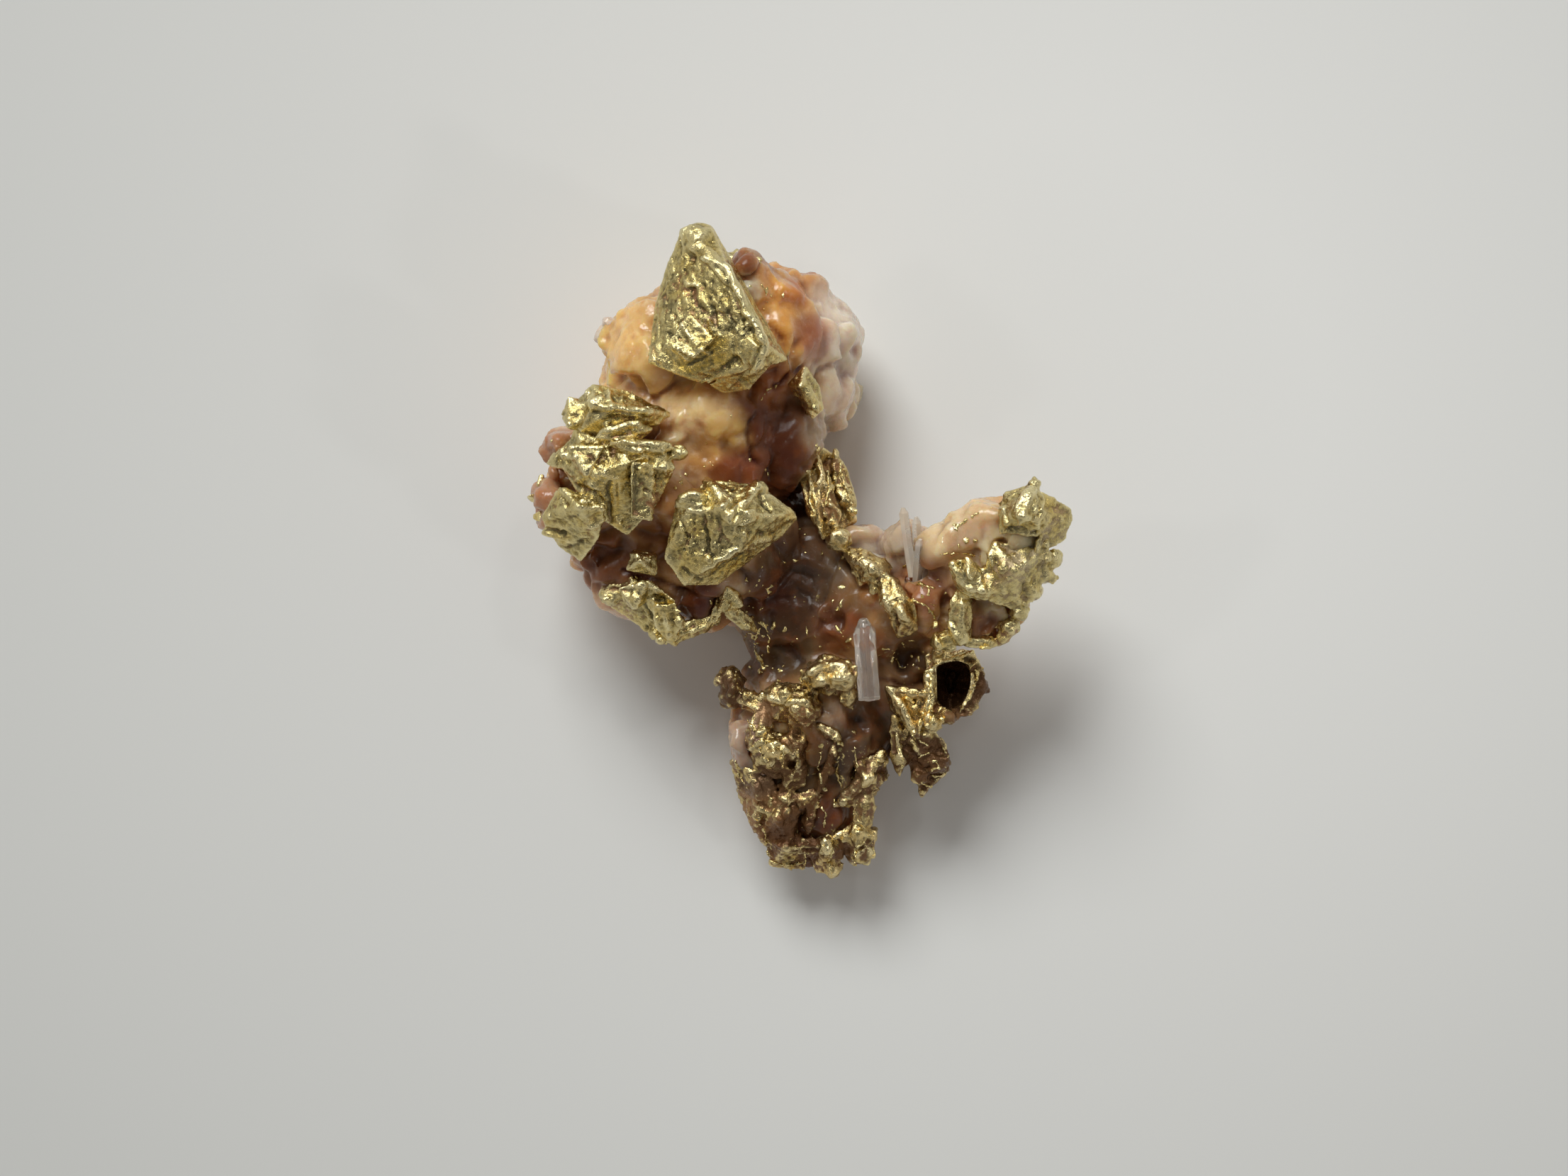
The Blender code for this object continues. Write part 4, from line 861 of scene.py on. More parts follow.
filming = {"hollows": 0.35, "clouds": 0.5, "threads": 0.45, "bare": 0.55, "spots": 0.9, "drawn": 0.5}


def awayFrom(points, spots):  # distance from a line of (x, y) spots, seen from above
    flat = points[:, :2]
    spots = np.array(spots, float)
    best = np.linalg.norm(flat - spots[0], axis=1)
    for start, end in zip(spots[:-1], spots[1:]):
        run = end - start
        share = np.clip((flat - start) @ run / (run @ run), 0, 1)
        best = np.minimum(best, np.linalg.norm(flat - start - share[:, None] * run, axis=1))
    return best


def patch(points, spot, radius, reach=1.3):  # one inside a round spot, falling to zero past its radius
    return np.clip(reach - awayFrom(points, [spot]) / radius, 0, 1)


lineWander = 0.05  # how far a drawn line strays, in millimetres


def drawnLines(points, facing, lines, lift):  # how much of a drawn line each vertex has, and its height
    share = np.zeros(len(points))
    height = np.zeros(len(points))
    strayed = points + lineWander * noiseVectors(points, 0.2, 44, 2)
    strength = facing * np.clip(0.9 + 0.7 * layeredNoise(points, 0.3, 48, 2), 0, 1.2)
    for amount, width, spots in lines:
        here = np.exp(-(awayFrom(strayed, spots) / width) ** 2) * strength
        share = np.maximum(share, here)
        height = np.maximum(height, amount * here)
    return share, lift * height


def leaningFacets(points, size, seed):  # broken facets: each cell leans its own way
    centre = nearestCell(points, size, seed)[2]
    cell = np.round(centre * 1000).astype(np.int64)
    lean = np.stack([2 * latticeValues(cell, seed + 20 + axis) - 1 for axis in range(3)], axis=1)
    return ((points - centre) * lean).sum(axis=1)


cavityScales = ((4, 0.012), (24, 0.06))  # rounds of smoothing, and the depth that counts as one


def cavityOf(place, normals, edges):  # above zero in hollows, below zero on edges, at two scales
    total = np.zeros(len(place))
    for rounds, depth in cavityScales:
        total += ((smoothed(place, edges, rounds) - place) * normals).sum(axis=1) / depth
    return smoothed(total, edges, 1)


def opened(place, opening):  # clears a hollow: what stands inside its outline moves out to the wall
    if not opening:
        return place, np.zeros(len(place))
    outline = np.array(opening["outline"])
    flat = place[:, :2]
    best = np.full(len(place), 99.0)
    target = flat.copy()
    within = np.ones(len(place), bool)
    for start, end in zip(outline, np.roll(outline, -1, axis=0)):
        run = end - start
        within &= run[0] * (flat[:, 1] - start[1]) - run[1] * (flat[:, 0] - start[0]) < 0
        share = np.clip((flat - start) @ run / (run @ run), 0, 1)
        spot = start + share[:, None] * run
        away = np.linalg.norm(flat - spot, axis=1)
        target = np.where((away < best)[:, None], spot, target)
        best = np.minimum(best, away)
    moved = within & (place[:, 2] >= opening["bottom"])
    place = place.copy()
    place[moved, :2] = target[moved]
    depth = np.clip((opening["top"] - place[:, 2]) / opening["fade"], 0, 1)
    return place, depth * (within | (best < opening["wall"]))


def drawnShapes(place, facing, settings):  # how much of each kind of drawn line a vertex has, and the heights
    shares, heights = {}, []
    for kind, lift in (("ridges", 1), ("grooves", -1), ("strips", 1), ("pits", -1)):
        shares[kind], height = drawnLines(place, facing, settings[kind], lift)
        heights.append(height)
    return shares, heights


def speckMask(place, seed):
    strayed = place + speckling["stray"] * noiseVectors(place, 0.12, seed + 30, 2)
    near, value, _ = nearestCell(strayed, speckling["size"], seed + 80)
    return np.where(value < speckling["share"], np.clip(1 - near / speckling["radius"], 0, 1), 0)


def fineRelief(place, specks, settings):  # streaks, creases, pits, grain and broken facets
    seed = settings["seed"]
    width, length, direction = settings["streaks"]
    turn = np.array(Matrix.Rotation(math.radians(-direction), 3, "Z"))
    stretched = (place @ turn.T) / np.array((length, width, width))
    streaks = layeredNoise(stretched, 1.0, seed, 3)
    creases = 1 - 2 * np.abs(layeredNoise(stretched, 1.7, seed + 40, 2))
    rough = relief["streaks"] * streaks + relief["creases"] * creases - speckling["depth"] * specks ** 1.5
    rough += relief["grain"] * layeredNoise(place, 0.09, seed + 9, 1)
    rough += facets["lean"] * leaningFacets(place, facets["size"], seed + 5)
    return rough + facets["coarseLean"] * leaningFacets(place, facets["coarseSize"], seed + 6)


def filmOver(place, facing, cavity, settings):  # stained film: thick in hollows, bare threads through it
    seed = settings["seed"]
    web = webOf(place, 0.5, seed + 60, 0.13)
    clouds = layeredNoise(place, 0.55, seed + 61, 2)
    film = settings["film"] + filming["hollows"] * np.clip(cavity, -1, 1)
    film = film + filming["clouds"] * clouds - filming["threads"] * web
    for spot, radius in settings["bare"]:
        film -= filming["bare"] * patch(place, spot, radius)
    for spot, radius in settings["filmSpots"]:
        film += filming["spots"] * patch(place, spot, radius) * facing
    return film


def dressGold(node, settings):
    seed = settings["seed"]
    points, faces = nodeArrays(node)
    crystals = growthCrystals(points, faces, settings, np.random.RandomState(seed))
    mesh = fused(node, *joined([(points, faces)] + crystals), settings["voxel"])
    place, edges = pointsOf(mesh), edgesOf(mesh)
    place = smoothed(place, edges, 1)
    placePoints(mesh, place)
    normals = normalsOf(mesh)
    facing = np.clip((normals[:, 2] + 0.15) / 0.4, 0, 1)  # drawn lines lie on what faces up
    away = distanceTo(sharpEdgePoints(points, faces), place)
    rim = np.exp(-(away / settings["rimWidth"]) ** 2)
    drawn, drawnHeights = drawnShapes(place, facing, settings)
    specks = speckMask(place, seed)
    calm = 1 - calming["rims"] * np.maximum(rim, drawn["ridges"])
    calm = calm * (1 - calming["strips"] * drawn["strips"])
    steps = np.floor(away / terraces["width"] + 0.5 * layeredNoise(place, 0.5, seed + 3, 2))
    height = settings["rimHeight"] * rim - settings["hollow"] * np.clip(steps, 0, terraces["most"])
    height += sum(drawnHeights, settings["relief"] * fineRelief(place, specks, settings) * calm)
    place = smoothed(place + normals * height[:, None], edges, 1, 0.3)
    place, inside = opened(place, settings["opening"])
    place[:, 2] = np.maximum(place[:, 2], 0)
    placePoints(mesh, place)
    cavity = cavityOf(place, normalsOf(mesh), edges)
    edge = np.clip(-cavity * 0.6, 0, 1)
    film = filmOver(place, facing, cavity, settings)
    film = film - filming["drawn"] * (drawn["ridges"] + drawn["strips"]) + 2 * inside
    broken = np.clip(0.65 + 0.9 * layeredNoise(place, 0.3, seed + 70, 3), 0.1, 1)
    # painted highlight: rims, ridges and sharp edges are drawn lighter, as if catching the light
    highlight = highlighting["rims"] * rim * (1 - specks) + highlighting["ridges"] * drawn["ridges"] + highlighting["edges"] * edge
    # painted shade: grooves, pits, specks and hollows are drawn darker, together with the dark spots
    pit = 0.75 * np.maximum(np.maximum(drawn["grooves"], drawn["pits"]), specks) + 0.5 * cavity
    for spot, radius, amount in settings["darkSpots"]:
        pit += amount * patch(place, spot, radius)
    storeValue(mesh, "rim", np.clip(highlight * broken, 0, 1) * (1 - inside))
    storeValue(mesh, "pit", np.clip(pit, 0, 1))
    # deeper yellow along the strips, and in the hollows as painted bounced light
    storeValue(mesh, "rich", np.clip(drawn["strips"] + 0.4 * np.clip(cavity, 0, 1), 0, 1))
    storeValue(mesh, "film", np.clip(film, 0, 1))
    storeColour(mesh, "stain", stainColours(place))
    return asPiece(node + "_dressed", mesh, settings["material"], [node])


goldDressed = []
for node, settings in goldPieces.items():
    goldDressed.append(dressGold(node, {**plainGold, **settings}))
    print("gold", node, len(goldDressed[-1].data.vertices))


# The stained quartz.

quartzSettings = {
    "voxel": 0.064, "grow": 0.05, "seed": 50, "smooth": 3,
    "facets": ((0.95, 0.30, 3), (0.42, 0.16, 1), (0.2, 0.06, 0)), "grain": 0.007, "leafHeight": 0.03,
    "hollowShade": 0.6, "crackAndShadeTint": (0.35, 0.18, 0.15),
    "cracks": [
        (0.14, 0.07, [(-0.7, 4.9), (-0.5, 4.78), (-0.36, 4.62)]),
        (0.12, 0.06, [(-3.75, -0.3), (-3.4, -0.42), (-2.95, -0.5), (-2.5, -0.72), (-2.2, -0.8)]),
        (0.10, 0.06, [(-1.0, 3.0), (-1.1, 2.5), (-0.9, 2.0)]),
        (0.10, 0.06, [(-0.5, 3.6), (-0.1, 3.85), (0.1, 4.0)]),
        (0.10, 0.06, [(1.75, -2.62), (2.2, -2.78), (2.7, -2.7)]), (0.10, 0.06, [(2.0, -0.35), (2.3, -0.45)]),
    ],
}
leafZones = {  # where thin gold runs over the quartz: centre, radius, amount
    "recessEdge": ((0.9, -1.4), 0.8, 0.36), "recessLow": ((-0.3, -2.3), 0.8, 0.34),
    "recessMiddle": ((0.2, -0.6), 1.0, 0.20), "recessLeft": ((-1.1, -1.1), 0.6, 0.42),
    "stem": ((0.6, -4.6), 1.3, 0.50), "stemFoot": ((0.5, -5.7), 1.0, 0.52),
    "prismSide": ((2.2, -2.3), 0.6, 0.42), "armTop": ((3.8, 0.9), 0.5, 0.34),
    "armRoot": ((3.2, -1.5), 0.4, 0.36), "underCrown": ((-0.9, 5.6), 0.4, 0.34),
    "stemEdge": ((-1.1, -4.4), 0.6, 0.34), "lowHead": ((-2.2, -0.2), 0.8, 0.28),
    "clusterEdge": ((-2.7, 1.4), 0.5, 0.38),
}
addedQuartz = [  # small crystals on the shoulders: centre, half sizes, tilt
    ((3.05, -1.42, 3.1), (0.42, 0.52, 0.65), (10, 5, 12)),
    ((2.78, -2.02, 2.75), (0.32, 0.36, 0.5), (5, 12, 40)),
    ((-1.12, 6.2, 4.72), (0.24, 0.18, 0.16), (20, 30, 20)),
    ((-5.2, 2.35, 3.9), (0.40, 0.30, 0.3), (15, 60, 10)),
    ((-5.15, 1.78, 3.9), (0.22, 0.22, 0.2), (25, 10, 50)),
    ((-1.05, 5.62, 4.7), (0.16, 0.26, 0.14), (10, 20, 40)),
]


def leafShare(points, normals):
    web = webOf(points, 0.55, 90, 0.16)
    amount = np.zeros(len(points))
    for spot, radius, most in leafZones.values():
        amount = np.maximum(amount, most * patch(points, spot, radius, 1.4))
    near, value, _ = nearestCell(points, 0.22, 95)
    fleck = np.where(value < 0.2, np.clip(1.2 - near * 3, 0, 1), 0)  # one cell in five holds a fleck
    return np.clip(amount * (0.9 * web + 2.6 * fleck), 0, 1) * np.clip(normals[:, 2] + 0.4, 0, 1)


def dressQuartz():
    seed = quartzSettings["seed"]
    parts = [nodeArrays("quartz_matrix")]
    for centre, half, lean in addedQuartz:
        parts.append((np.array(centre) + (octahedronPoints * half) @ turned(*lean).T, octahedronFaces))
    mesh = fused("quartz_matrix", *joined(parts), quartzSettings["voxel"])
    place, edges = pointsOf(mesh), edgesOf(mesh)
    place = smoothed(place, edges, quartzSettings["smooth"])
    placePoints(mesh, place)
    normals = normalsOf(mesh)
    height = np.full(len(place), quartzSettings["grow"])
    for number, (size, lean, soften) in enumerate(quartzSettings["facets"]):
        height += smoothed(lean * leaningFacets(place, size, seed + number), edges, soften)
    height += quartzSettings["grain"] * layeredNoise(place, 0.16, seed + 5, 2)
    cracks, crackHeight = drawnLines(place, np.clip(normals[:, 2] * 2, 0, 1), quartzSettings["cracks"], -1)
    leaf = leafShare(place, normals)
    height = height + crackHeight + quartzSettings["leafHeight"] * leaf
    place = smoothed(place + normals * height[:, None], edges, 1, 0.35)
    place[:, 2] = np.maximum(place[:, 2], 0)
    placePoints(mesh, place)
    cavity = np.clip(cavityOf(place, normalsOf(mesh), edges) * 0.35, 0, 1)
    colours = stainColours(place)
    # dark cracks, and painted shade in the hollows
    darker = np.maximum(cracks, quartzSettings["hollowShade"] * cavity)[:, None]
    colours = colours * (1 - darker) + darker * colours * quartzSettings["crackAndShadeTint"]
    storeColour(mesh, "stain", colours)
    storeValue(mesh, "leaf", leaf)
    return asPiece("quartz_matrix_dressed", mesh, stainedQuartz, ["quartz_matrix"])


quartz = dressQuartz()
print("quartz", len(quartz.data.vertices))


# The clear quartz.

def hullArrays(points):
    bm = bmesh.new()
    for point in points:
        bm.verts.new(point)
    bmesh.ops.convex_hull(bm, input=bm.verts)
    bmesh.ops.delete(bm, geom=[v for v in bm.verts if not v.link_faces], context="VERTS")
    bmesh.ops.triangulate(bm, faces=bm.faces)
    bm.verts.index_update()
    arrays = np.array([v.co for v in bm.verts]), np.array([[v.index for v in f.verts] for f in bm.faces])
    bm.free()
    return arrays


nuggetShape = {"corners": 11, "thinnest": 0.6, "thickest": 1.5}


def nugget(centre, size, random):  # a small many-sided lump
    corners = random.normal(size=(nuggetShape["corners"], 3))
    corners /= np.linalg.norm(corners, axis=1, keepdims=True)
    stretch = random.uniform(nuggetShape["thinnest"], nuggetShape["thickest"], 3)
    return hullArrays(np.array(centre) + corners * size * stretch)


def treeOf(meshes):
    points, faces = joined([(pointsOf(mesh) / mm, trianglesOf(mesh)) for mesh in meshes])
    return bvhtree.BVHTree.FromPolygons(points.tolist(), faces.tolist())


clearPieces = {  # growth lines across the prisms, and chipped spots: spacing and depths in millimetres
    "clear_quartz_prism": {"lines": 0.13, "depth": 0.010, "chips": 0.03, "material": clearQuartz},
    "clear_quartz_spray": {"lines": 0.09, "depth": 0.006, "chips": 0.015, "material": frostedQuartz},
}
clearEdges = {"flat": 3, "sharp": 24, "bevel": 0.012, "longest": 0.05, "rounds": 3}  # two angles, two lengths


def dressClear(node, settings):
    points, faces = nodeArrays(node)
    bm = bmesh.new()
    bm.from_mesh(meshFrom(node, points, faces))
    bmesh.ops.dissolve_limit(bm, angle_limit=math.radians(clearEdges["flat"]), verts=bm.verts, edges=bm.edges)
    bevel = clearEdges["bevel"]
    bmesh.ops.bevel(bm, geom=bm.edges, offset=bevel, segments=1, affect="EDGES", clamp_overlap=True)
    bmesh.ops.triangulate(bm, faces=bm.faces)
    for _ in range(clearEdges["rounds"]):
        long = [edge for edge in bm.edges if edge.calc_length() > clearEdges["longest"]]
        bmesh.ops.subdivide_edges(bm, edges=long, cuts=1)
        bmesh.ops.triangulate(bm, faces=bm.faces)
    bm.normal_update()
    place = np.array([v.co for v in bm.verts])
    normals = np.array([v.normal for v in bm.verts])
    lines = np.sin(place[:, 1] / settings["lines"] * math.tau + 2.5 * layeredNoise(place, 0.5, 33, 2))
    chips = np.clip(layeredNoise(place, 0.14, 34, 2) - 0.25, 0, 1)
    height = settings["depth"] * np.clip(lines, -0.2, 0.2) * 2 - settings["chips"] * chips
    for vertex, spot in zip(bm.verts, place + normals * height[:, None]):
        vertex.co = spot
    mesh = bpy.data.meshes.new(node)
    bm.to_mesh(mesh)
    bm.free()
    piece = asPiece(node + "_dressed", mesh, settings["material"], [node])
    piece.data.set_sharp_from_angle(angle=math.radians(clearEdges["sharp"]))
    return piece


for node, settings in clearPieces.items():
    dressClear(node, settings)


frostSettings = {  # a crust of small clear crystals in round zones (centre, radius) that face one side
    "zones": [((-4.05, 4.85, 3.3), 0.3), ((-4.1, 4.55, 3.1), 0.3)], "facing": (-1, 0.3, 0.2),
    "perZone": 5, "sizes": (0.14, 0.24), "shape": (0.75, 0.9, 1.0), "seed": 90, "voxel": 0.03,
}


def growFrost():
    random = np.random.RandomState(frostSettings["seed"])
    spots, outward = pointsOf(quartz.data) / mm, normalsOf(quartz.data)
    turnedThere = outward @ np.array(Vector(frostSettings["facing"]).normalized()) > 0.25
    small, large = frostSettings["sizes"]
    ring = [(math.cos(k * math.pi / 3), math.sin(k * math.pi / 3), z) for z in (-0.8, 0.1) for k in range(6)]
    prism = np.array(ring + [(0.2, 0.1, 0.75)])  # six sides and an off-centre tip
    parts = []
    for centre, radius in frostSettings["zones"]:
        near = np.flatnonzero(turnedThere & (np.linalg.norm(spots - centre, axis=1) < radius))
        for number in random.choice(near, min(len(near), frostSettings["perZone"]), replace=False):
            size = small * (large / small) ** random.uniform() ** 1.5
            lean = Vector(random.normal(scale=0.35, size=3)) + Vector(outward[number])
            spin = Matrix.Rotation(random.uniform(0, 6), 3, "Z")
            axes = np.array(lean.to_track_quat("Z", "Y").to_matrix() @ spin)
            points, faces = hullArrays(prism * size * frostSettings["shape"])
            parts.append((spots[number] + points @ axes.T, faces))
    mesh = fused("shoulder_frost", *joined(parts), frostSettings["voxel"])
    place, edges = pointsOf(mesh), edgesOf(mesh)
    place = smoothed(place, edges, 1)
    place += normalsOf(mesh) * (0.008 * layeredNoise(place, 0.1, 36, 2))[:, None]
    place[:, 2] = np.maximum(place[:, 2], 0)
    placePoints(mesh, place)
    return asPiece("shoulder_frost", mesh, frostedQuartz)


print("frost", len(growFrost().data.vertices))
print("clear quartz made")


# Loose gold: specks, knobs and threads that sit in the quartz. Spots are seen from above.

speckSettings = {
    "seed": 70, "gathering": -0.05, "sizes": (0.026, 0.085), "sink": 0.3, "voxel": 0.024, "rich": 0.35,
}
knobLift = 0.3  # how far a larger knob stands off the quartz, as a share of its radius
threadSettings = {"width": 0.035, "step": 0.04, "stray": 0.006}
wireSettings = {"step": 0.035, "stray": 0.008, "lift": 0.4}
speckZones = {  # centre, radius, how many
    "recess": ((0.1, -0.6), 1.2, 95), "recessLow": ((-0.3, -2.0), 0.8, 60),
    "prismSide": ((1.0, -1.6), 0.7, 40), "lowHead": ((-1.2, -1.1), 0.7, 70), "stem": ((0.7, -4.2), 1.1, 100),
    "stemFoot": ((0.2, -5.7), 0.8, 100), "besidePrism": ((2.1, -2.1), 0.6, 60),
    "hollow": ((-1.2, 2.0), 1.0, 44), "shoulder": ((-0.8, 5.4), 0.5, 32), "armTop": ((3.6, 0.6), 0.7, 32),
    "redRoot": ((2.7, -0.8), 0.6, 60), "leftEdge": ((-5.0, 1.9), 0.6, 24),
    "stemEdge": ((-1.1, -4.2), 0.6, 44), "stemTopLeft": ((-0.95, -2.1), 0.5, 70),
}
threads = [  # fine gold threads in the quartz
    [(0.76, -4.05), (0.62, -4.45), (0.5, -4.8), (0.46, -5.0)], [(1.35, -4.85), (1.3, -5.05), (1.1, -5.25)],
    [(0.82, -4.7), (0.92, -4.95)], [(0.3, 0.95), (0.42, 0.75), (0.56, 0.5)], [(-0.65, -5.2), (-0.6, -5.45)],
    [(-1.3, -2.4), (-1.34, -2.65), (-1.2, -2.95)], [(-1.42, -4.6), (-1.3, -5.0), (-1.1, -5.3)],
    [(3.0, 0.02), (3.4, 0.06), (3.9, -0.02)], [(3.3, 0.56), (3.5, 0.72), (3.8, 0.9)],
    [(-0.66, 3.52), (-0.46, 3.6)], [(-0.79, 5.72), (-0.68, 5.54)], [(-0.86, 6.3), (-0.82, 6.18)],
    [(-2.5, 1.66), (-2.34, 1.74)], [(-1.75, -1.3), (-1.62, -1.0), (-1.45, -0.9)],
    [(2.42, -0.1), (2.2, -0.28)], [(2.0, -2.3), (2.1, -2.2), (2.2, -2.45)], [(0.16, -1.5), (0.2, -1.7)],
    [(0.8, -1.5), (0.95, -1.72)], [(-0.9, 3.4), (-0.8, 3.3), (-0.74, 3.42)],
]
wires = [  # thin bright ridges that run over gold and quartz alike: width, spots
    (0.040, [(-1.12, -1.7), (-1.2, -2.0), (-1.12, -2.3)]),
    (0.036, [(-0.86, -1.6), (-0.95, -1.95), (-0.84, -2.25)]),
    (0.036, [(-0.7, -1.5), (-0.62, -1.8), (-0.66, -2.05)]),
    (0.036, [(0.42, -5.3), (0.6, -5.55), (0.54, -5.85)]),
    (0.036, [(0.86, -4.3), (0.82, -4.65), (0.92, -5.0)]), (0.034, [(0.5, -4.2), (0.42, -4.55), (0.5, -4.9)]),
    (0.034, [(1.2, -4.1), (1.26, -4.5), (1.16, -4.8)]), (0.040, [(2.5, -0.45), (2.62, -0.62), (2.9, -0.7)]),
    (0.040, [(2.45, -0.95), (2.7, -1.05), (2.9, -1.3)]), (0.045, [(0.36, 2.35), (0.42, 2.0), (0.30, 1.75)]),
    (0.045, [(0.62, 1.8), (0.66, 1.4), (0.58, 1.1)]),
    (0.042, [(0.92, 2.0), (0.86, 1.7), (1.02, 1.45), (1.14, 1.1)]),
    (0.042, [(0.28, 1.5), (0.24, 1.15), (0.36, 0.85)]),
    (0.044, [(3.80, -2.44), (3.82, -2.62), (3.76, -2.80), (3.66, -3.04), (3.46, -3.32)]),
    (0.052, [(2.86, -2.42), (2.84, -2.75), (2.86, -3.05), (2.82, -3.32)]),
    (0.052, [(2.70, -2.52), (3.05, -2.26), (3.50, -2.16), (3.72, -2.04), (4.00, -1.94)]),
    (0.039, [(2.30, -2.93), (2.50, -2.92), (2.72, -2.93)]),
    (0.036, [(2.74, -3.1), (2.66, -3.4), (2.56, -3.68)]),
    (0.039, [(2.46, -3.85), (2.52, -4.15), (2.62, -4.3)]), (0.036, [(2.58, -4.32), (2.80, -4.24)]),
    (0.042, [(2.88, -4.72), (3.06, -4.74), (3.18, -4.70), (3.16, -4.55)]),
    (0.036, [(2.62, -4.88), (2.90, -5.02)]),
    (0.036, [(2.80, -4.42), (2.96, -4.40), (3.02, -4.55), (2.86, -4.6)]),
    (0.034, [(2.6, -3.95), (2.78, -4.08)]), (0.036, [(3.10, -4.12), (3.22, -4.35)]),
    (0.034, [(2.15, -4.1), (2.25, -4.4), (2.2, -4.6)]),
    (0.039, [(-1.28, -2.32), (-1.36, -2.55), (-1.30, -2.85), (-1.22, -2.95)]),
    (0.042, [(-1.10, -3.55), (-0.94, -3.74), (-0.66, -3.70)]),
    (0.039, [(-1.02, -4.1), (-0.86, -3.98), (-0.6, -3.96), (-0.42, -4.1)]),
    (0.036, [(-0.85, -4.12), (-0.78, -4.3), (-0.6, -4.4)]),
    (0.036, [(-0.36, -4.1), (-0.3, -4.25), (-0.42, -4.4)]),
    (0.036, [(0.0, -4.15), (-0.02, -4.4), (-0.1, -4.66)]),
    (0.034, [(-1.38, -4.3), (-1.3, -4.7), (-1.12, -5.0)]),
    (0.039, [(0.72, -6.95), (0.66, -6.6), (0.76, -6.3)]),
    (0.039, [(1.58, -6.2), (1.66, -6.45), (1.56, -6.72), (1.3, -6.8)]),
    (0.036, [(1.24, -6.7), (1.22, -6.35), (1.4, -6.18)]),
    (0.034, [(-0.72, -6.3), (-0.6, -6.62), (-0.3, -6.72), (0.1, -6.66)]),
    (0.036, [(0.14, -6.4), (0.16, -6.66)]), (0.034, [(1.26, -5.35), (1.18, -5.6)]),
    (0.034, [(-0.9, -5.7), (-0.72, -5.95), (-0.7, -6.2)]),
]
brightKnobs = [  # small bright knobs on top of whatever lies there: spot and radius
    ((2.33, -3.07), 0.10), ((2.47, -3.07), 0.10), ((2.40, -3.14), 0.08), ((-0.59, -5.24), 0.055),
    ((0.99, -5.25), 0.055), ((0.22, -5.69), 0.065), ((-0.06, -6.25), 0.05), ((0.14, -5.35), 0.04),
    ((0.55, -6.25), 0.06), ((1.2, -5.9), 0.06), ((1.42, -5.86), 0.07), ((1.52, -6.05), 0.06),
    ((2.67, -5.08), 0.06), ((2.80, -3.26), 0.07), ((2.86, -3.50), 0.11), ((3.06, -3.48), 0.08),
    ((2.58, -3.78), 0.05), ((1.72, -4.4), 0.05), ((1.84, -4.46), 0.05), ((1.66, -4.3), 0.04),
    ((1.95, -4.6), 0.05), ((0.14, -3.1), 0.05), ((-0.12, -2.85), 0.05), ((-0.2, -3.12), 0.05),
    ((0.62, -4.02), 0.03), ((3.42, -0.28), 0.06), ((3.86, -0.02), 0.05), ((-2.96, -1.7), 0.06),
    ((-2.72, -1.5), 0.05), ((-3.3, -0.56), 0.05), ((2.0, -2.26), 0.06), ((-1.5, 1.35), 0.06),
    ((0.25, 1.34), 0.07), ((1.12, 1.4), 0.08), ((0.42, 2.3), 0.07), ((1.22, 0.95), 0.07),
    ((0.66, 2.12), 0.06), ((0.3, 0.85), 0.06), ((0.2, 1.8), 0.06), ((0.98, 1.85), 0.06),
    ((-2.62, 1.42), 0.06), ((-2.7, 2.05), 0.05), ((0.86, 0.44), 0.07), ((1.1, 0.1), 0.06),
    ((1.5, -0.06), 0.06),
]
knobs = [  # centre and radius of the larger ones, which are seated on the nearest quartz
    ((-5.50, 1.55, 3.70), 0.20), ((-5.60, 1.20, 3.60), 0.20), ((-5.52, 0.82, 3.55), 0.17),
    ((-2.42, 1.68, 4.75), 0.10), ((-0.86, 6.24, 4.5), 0.08), ((-1.36, 1.48, 4.55), 0.09),
    ((2.98, -1.75, 4.02), 0.13),
]


def along(line, settings, random):  # spots along a line, each strayed a little
    for start, end in zip(line[:-1], line[1:]):
        count = max(2, int(math.dist(start, end) / settings["step"]))
        for share in np.linspace(0, 1, count):
            spot = np.array(start) + share * (np.array(end) - start)
            yield spot + random.normal(scale=settings["stray"], size=2)


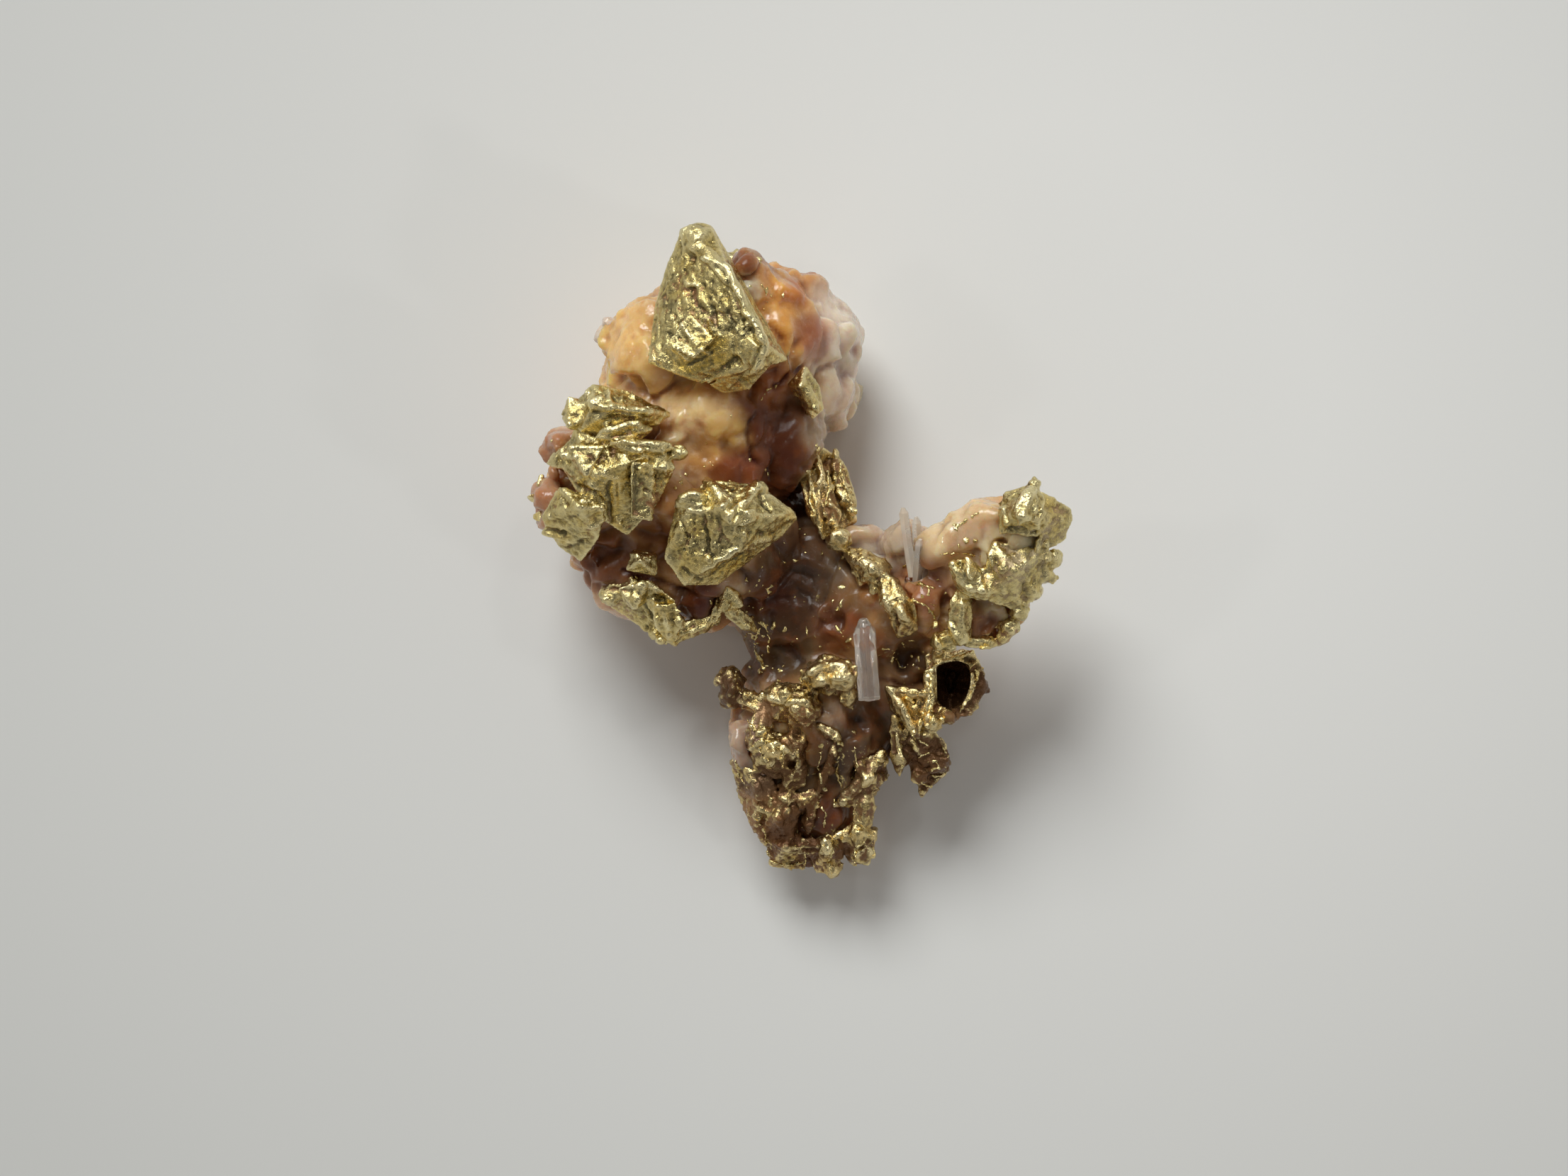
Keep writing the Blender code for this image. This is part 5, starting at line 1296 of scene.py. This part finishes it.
def looseGold():
    random = np.random.RandomState(speckSettings["seed"])
    quartzTree = treeOf([quartz.data])
    goldTree = treeOf([piece.data for piece in goldDressed])
    above = Vector((0, 0, 12))  # well over the highest point

    def spotsUnder(x, y):
        start, down = above + Vector((x, y, 0)), Vector((0, 0, -1))
        return quartzTree.ray_cast(start, down)[0], goldTree.ray_cast(start, down)[0]

    def onQuartz(x, y):  # the spot under (x, y), unless gold covers it
        under, gold = spotsUnder(x, y)
        return under if under and (not gold or gold.z < under.z) else None

    def onTop(x, y):  # the highest spot under (x, y)
        found = [spot for spot in spotsUnder(x, y) if spot]
        return max(found, key=lambda spot: spot.z) if found else None

    parts = []
    small, large = speckSettings["sizes"]
    for (x, y), radius, count in speckZones.values():
        for _ in range(count):
            reach, turn = radius * math.sqrt(random.uniform()), random.uniform(0, math.tau)
            size = small * (large / small) ** random.uniform() ** 1.6
            spot = onQuartz(x + reach * math.cos(turn), y + reach * math.sin(turn))
            if spot and layeredNoise(np.array([spot]), 0.5, 75, 2)[0] > speckSettings["gathering"]:
                parts.append(nugget(spot - Vector((0, 0, size * speckSettings["sink"])), size, random))
    for line in threads:
        for x, y in along(line, threadSettings, random):
            spot = onQuartz(x, y)
            if spot:
                parts.append(nugget(spot, threadSettings["width"] * random.uniform(0.8, 1.3), random))
    for width, line in wires:
        for x, y in along(line, wireSettings, random):
            spot = onTop(x, y)
            if spot:
                raised = spot + Vector((0, 0, width * wireSettings["lift"]))
                parts.append(nugget(raised, width * random.uniform(0.8, 1.2), random))
    for (x, y), radius in brightKnobs:
        spot = onTop(x, y)
        if spot:
            parts.append(nugget(spot, radius, random))
    for centre, radius in knobs:
        nearest = quartzTree.find_nearest(centre)[0]
        outward = (Vector(centre) - nearest).normalized()
        parts.append(nugget(nearest + outward * radius * knobLift, radius, random))
    mesh = fused("loose_gold", *joined(parts), speckSettings["voxel"])
    place, edges = pointsOf(mesh), edgesOf(mesh)
    normals = normalsOf(mesh)
    place = place + normals * (0.012 * layeredNoise(place, 0.08, 71, 2))[:, None]
    placePoints(mesh, place)
    count = len(place)
    # painted highlight: the loose gold is drawn lighter in patches, as if catching the light
    storeValue(mesh, "rim", np.clip(0.65 + 0.7 * layeredNoise(place, 0.12, 72, 2), 0, 1))
    storeValue(mesh, "pit", np.zeros(count))
    storeValue(mesh, "rich", np.full(count, speckSettings["rich"]))
    storeValue(mesh, "film", np.clip(0.3 * layeredNoise(place, 0.15, 73, 2), 0, 1))
    storeColour(mesh, "stain", stainColours(place))
    return asPiece("loose_gold", mesh, brightGold)


print("loose gold", len(looseGold().data.vertices))


# Floor, lights and camera.

stageSettings = {  # millimetres, but metres for the size of the floor and for the key light
    "floorMiddle": (0.88, 0.87, 0.84, 1), "floorEdge": (0.64, 0.638, 0.613, 1), "floorRoughness": 0.7,
    "floorSize": 0.5, "lightPoolCentre": (5.5, 3.5), "lightPoolFrom": 6.0, "lightPoolTo": 30.0,
    "keyFrom": (-0.36, 0.93), "keyElevation": 46, "keyDistance": 0.35, "keySize": 0.18, "keyPower": 0.83,
    "keyColour": (0.97, 1.0, 1.0),
    "skyHigh": (0.13, 0.13, 0.13, 1), "skyLow": (0.86, 0.83, 0.79, 1), "skyFrom": 0.35, "skyTo": 0.95,
    "skyStrength": 0.52,
    "frameCentre": (-0.31, -0.69), "frameWidth": 33.18, "focusHeight": 4.5, "cameraHeight": 125.0,
    "sensorWidth": 36,
}
glintLights = {  # small lights for the sparkle on the metal: direction, metres away, metres across, power
    "rightGlint": ((0.8, -0.35, 0.75), 0.35, 0.03, 0.04),
    "highGlint": ((0.25, 0.55, 1.0), 0.35, 0.03, 0.035),
    "leftGlint": ((-0.75, 0.1, 0.8), 0.35, 0.03, 0.03),
}


def makeFloor():
    half = stageSettings["floorSize"] / 2
    corners = [(-half, -half, 0), (half, -half, 0), (half, half, 0), (-half, half, 0)]
    floor = bpy.data.objects.new("floor", meshFrom("floor", corners, [(0, 1, 2, 3)]))
    scene.collection.objects.link(floor)
    material, tree, shader = newMaterial("paleCard")
    # painted pool of light: the card is lighter around the pool's centre and darker towards its edges
    reach = addNode(tree, "ShaderNodeVectorMath", operation="DISTANCE")
    tree.links.new(objectPoints(tree), reach.inputs[0])
    x, y = stageSettings["lightPoolCentre"]
    reach.inputs[1].default_value = (x * mm, y * mm, 0)
    lightPoolFrom, lightPoolTo = stageSettings["lightPoolFrom"] * mm, stageSettings["lightPoolTo"] * mm
    share = rangeNode(tree, reach.outputs["Value"], lightPoolFrom, lightPoolTo)
    colour = mixColours(tree, share, stageSettings["floorMiddle"], stageSettings["floorEdge"])
    tree.links.new(colour, shader.inputs["Base Color"])
    shader.inputs["Roughness"].default_value = stageSettings["floorRoughness"]
    floor.data.materials.append(material)


def makeLamp(name, direction, distance, size, power, colour=(1, 1, 1)):
    light = bpy.data.lights.new(name, "AREA")
    light.shape = "DISK"
    light.size = size
    light.energy = power
    light.color = colour
    lamp = bpy.data.objects.new(name, light)
    direction = Vector(direction).normalized()
    lamp.location = direction * distance
    lamp.rotation_euler = (-direction).to_track_quat("-Z", "Y").to_euler()
    scene.collection.objects.link(lamp)


def makeLights():
    across, deep = stageSettings["keyFrom"]
    rise = math.radians(stageSettings["keyElevation"])
    direction = (across * math.cos(rise), deep * math.cos(rise), math.sin(rise))
    makeLamp("windowLight", direction, stageSettings["keyDistance"], stageSettings["keySize"],
             stageSettings["keyPower"], stageSettings["keyColour"])
    for name, values in glintLights.items():
        makeLamp(name, *values)
    world = bpy.data.worlds.new("softRoom")
    world.use_nodes = True
    scene.world = world
    tree = world.node_tree
    background = tree.nodes["Background"]
    height = addNode(tree, "ShaderNodeSeparateXYZ")
    tree.links.new(addNode(tree, "ShaderNodeTexCoord").outputs["Generated"], height.inputs[0])
    share = rangeNode(tree, height.outputs["Z"], stageSettings["skyFrom"], stageSettings["skyTo"])
    colour = mixColours(tree, share, stageSettings["skyLow"], stageSettings["skyHigh"])
    tree.links.new(colour, background.inputs["Color"])
    background.inputs["Strength"].default_value = stageSettings["skyStrength"]


def makeCamera():
    data = bpy.data.cameras.new("overhead")
    data.sensor_width = stageSettings["sensorWidth"]
    reach = stageSettings["cameraHeight"] - stageSettings["focusHeight"]
    data.lens = data.sensor_width * reach / stageSettings["frameWidth"]
    data.clip_start = 1 * mm
    camera = bpy.data.objects.new("overhead", data)
    x, y = stageSettings["frameCentre"]
    camera.location = Vector((x, y, stageSettings["cameraHeight"])) * mm
    scene.collection.objects.link(camera)
    scene.camera = camera


makeFloor()
makeLights()
makeCamera()
scene.view_settings.view_transform = "Standard"
print("stage made")
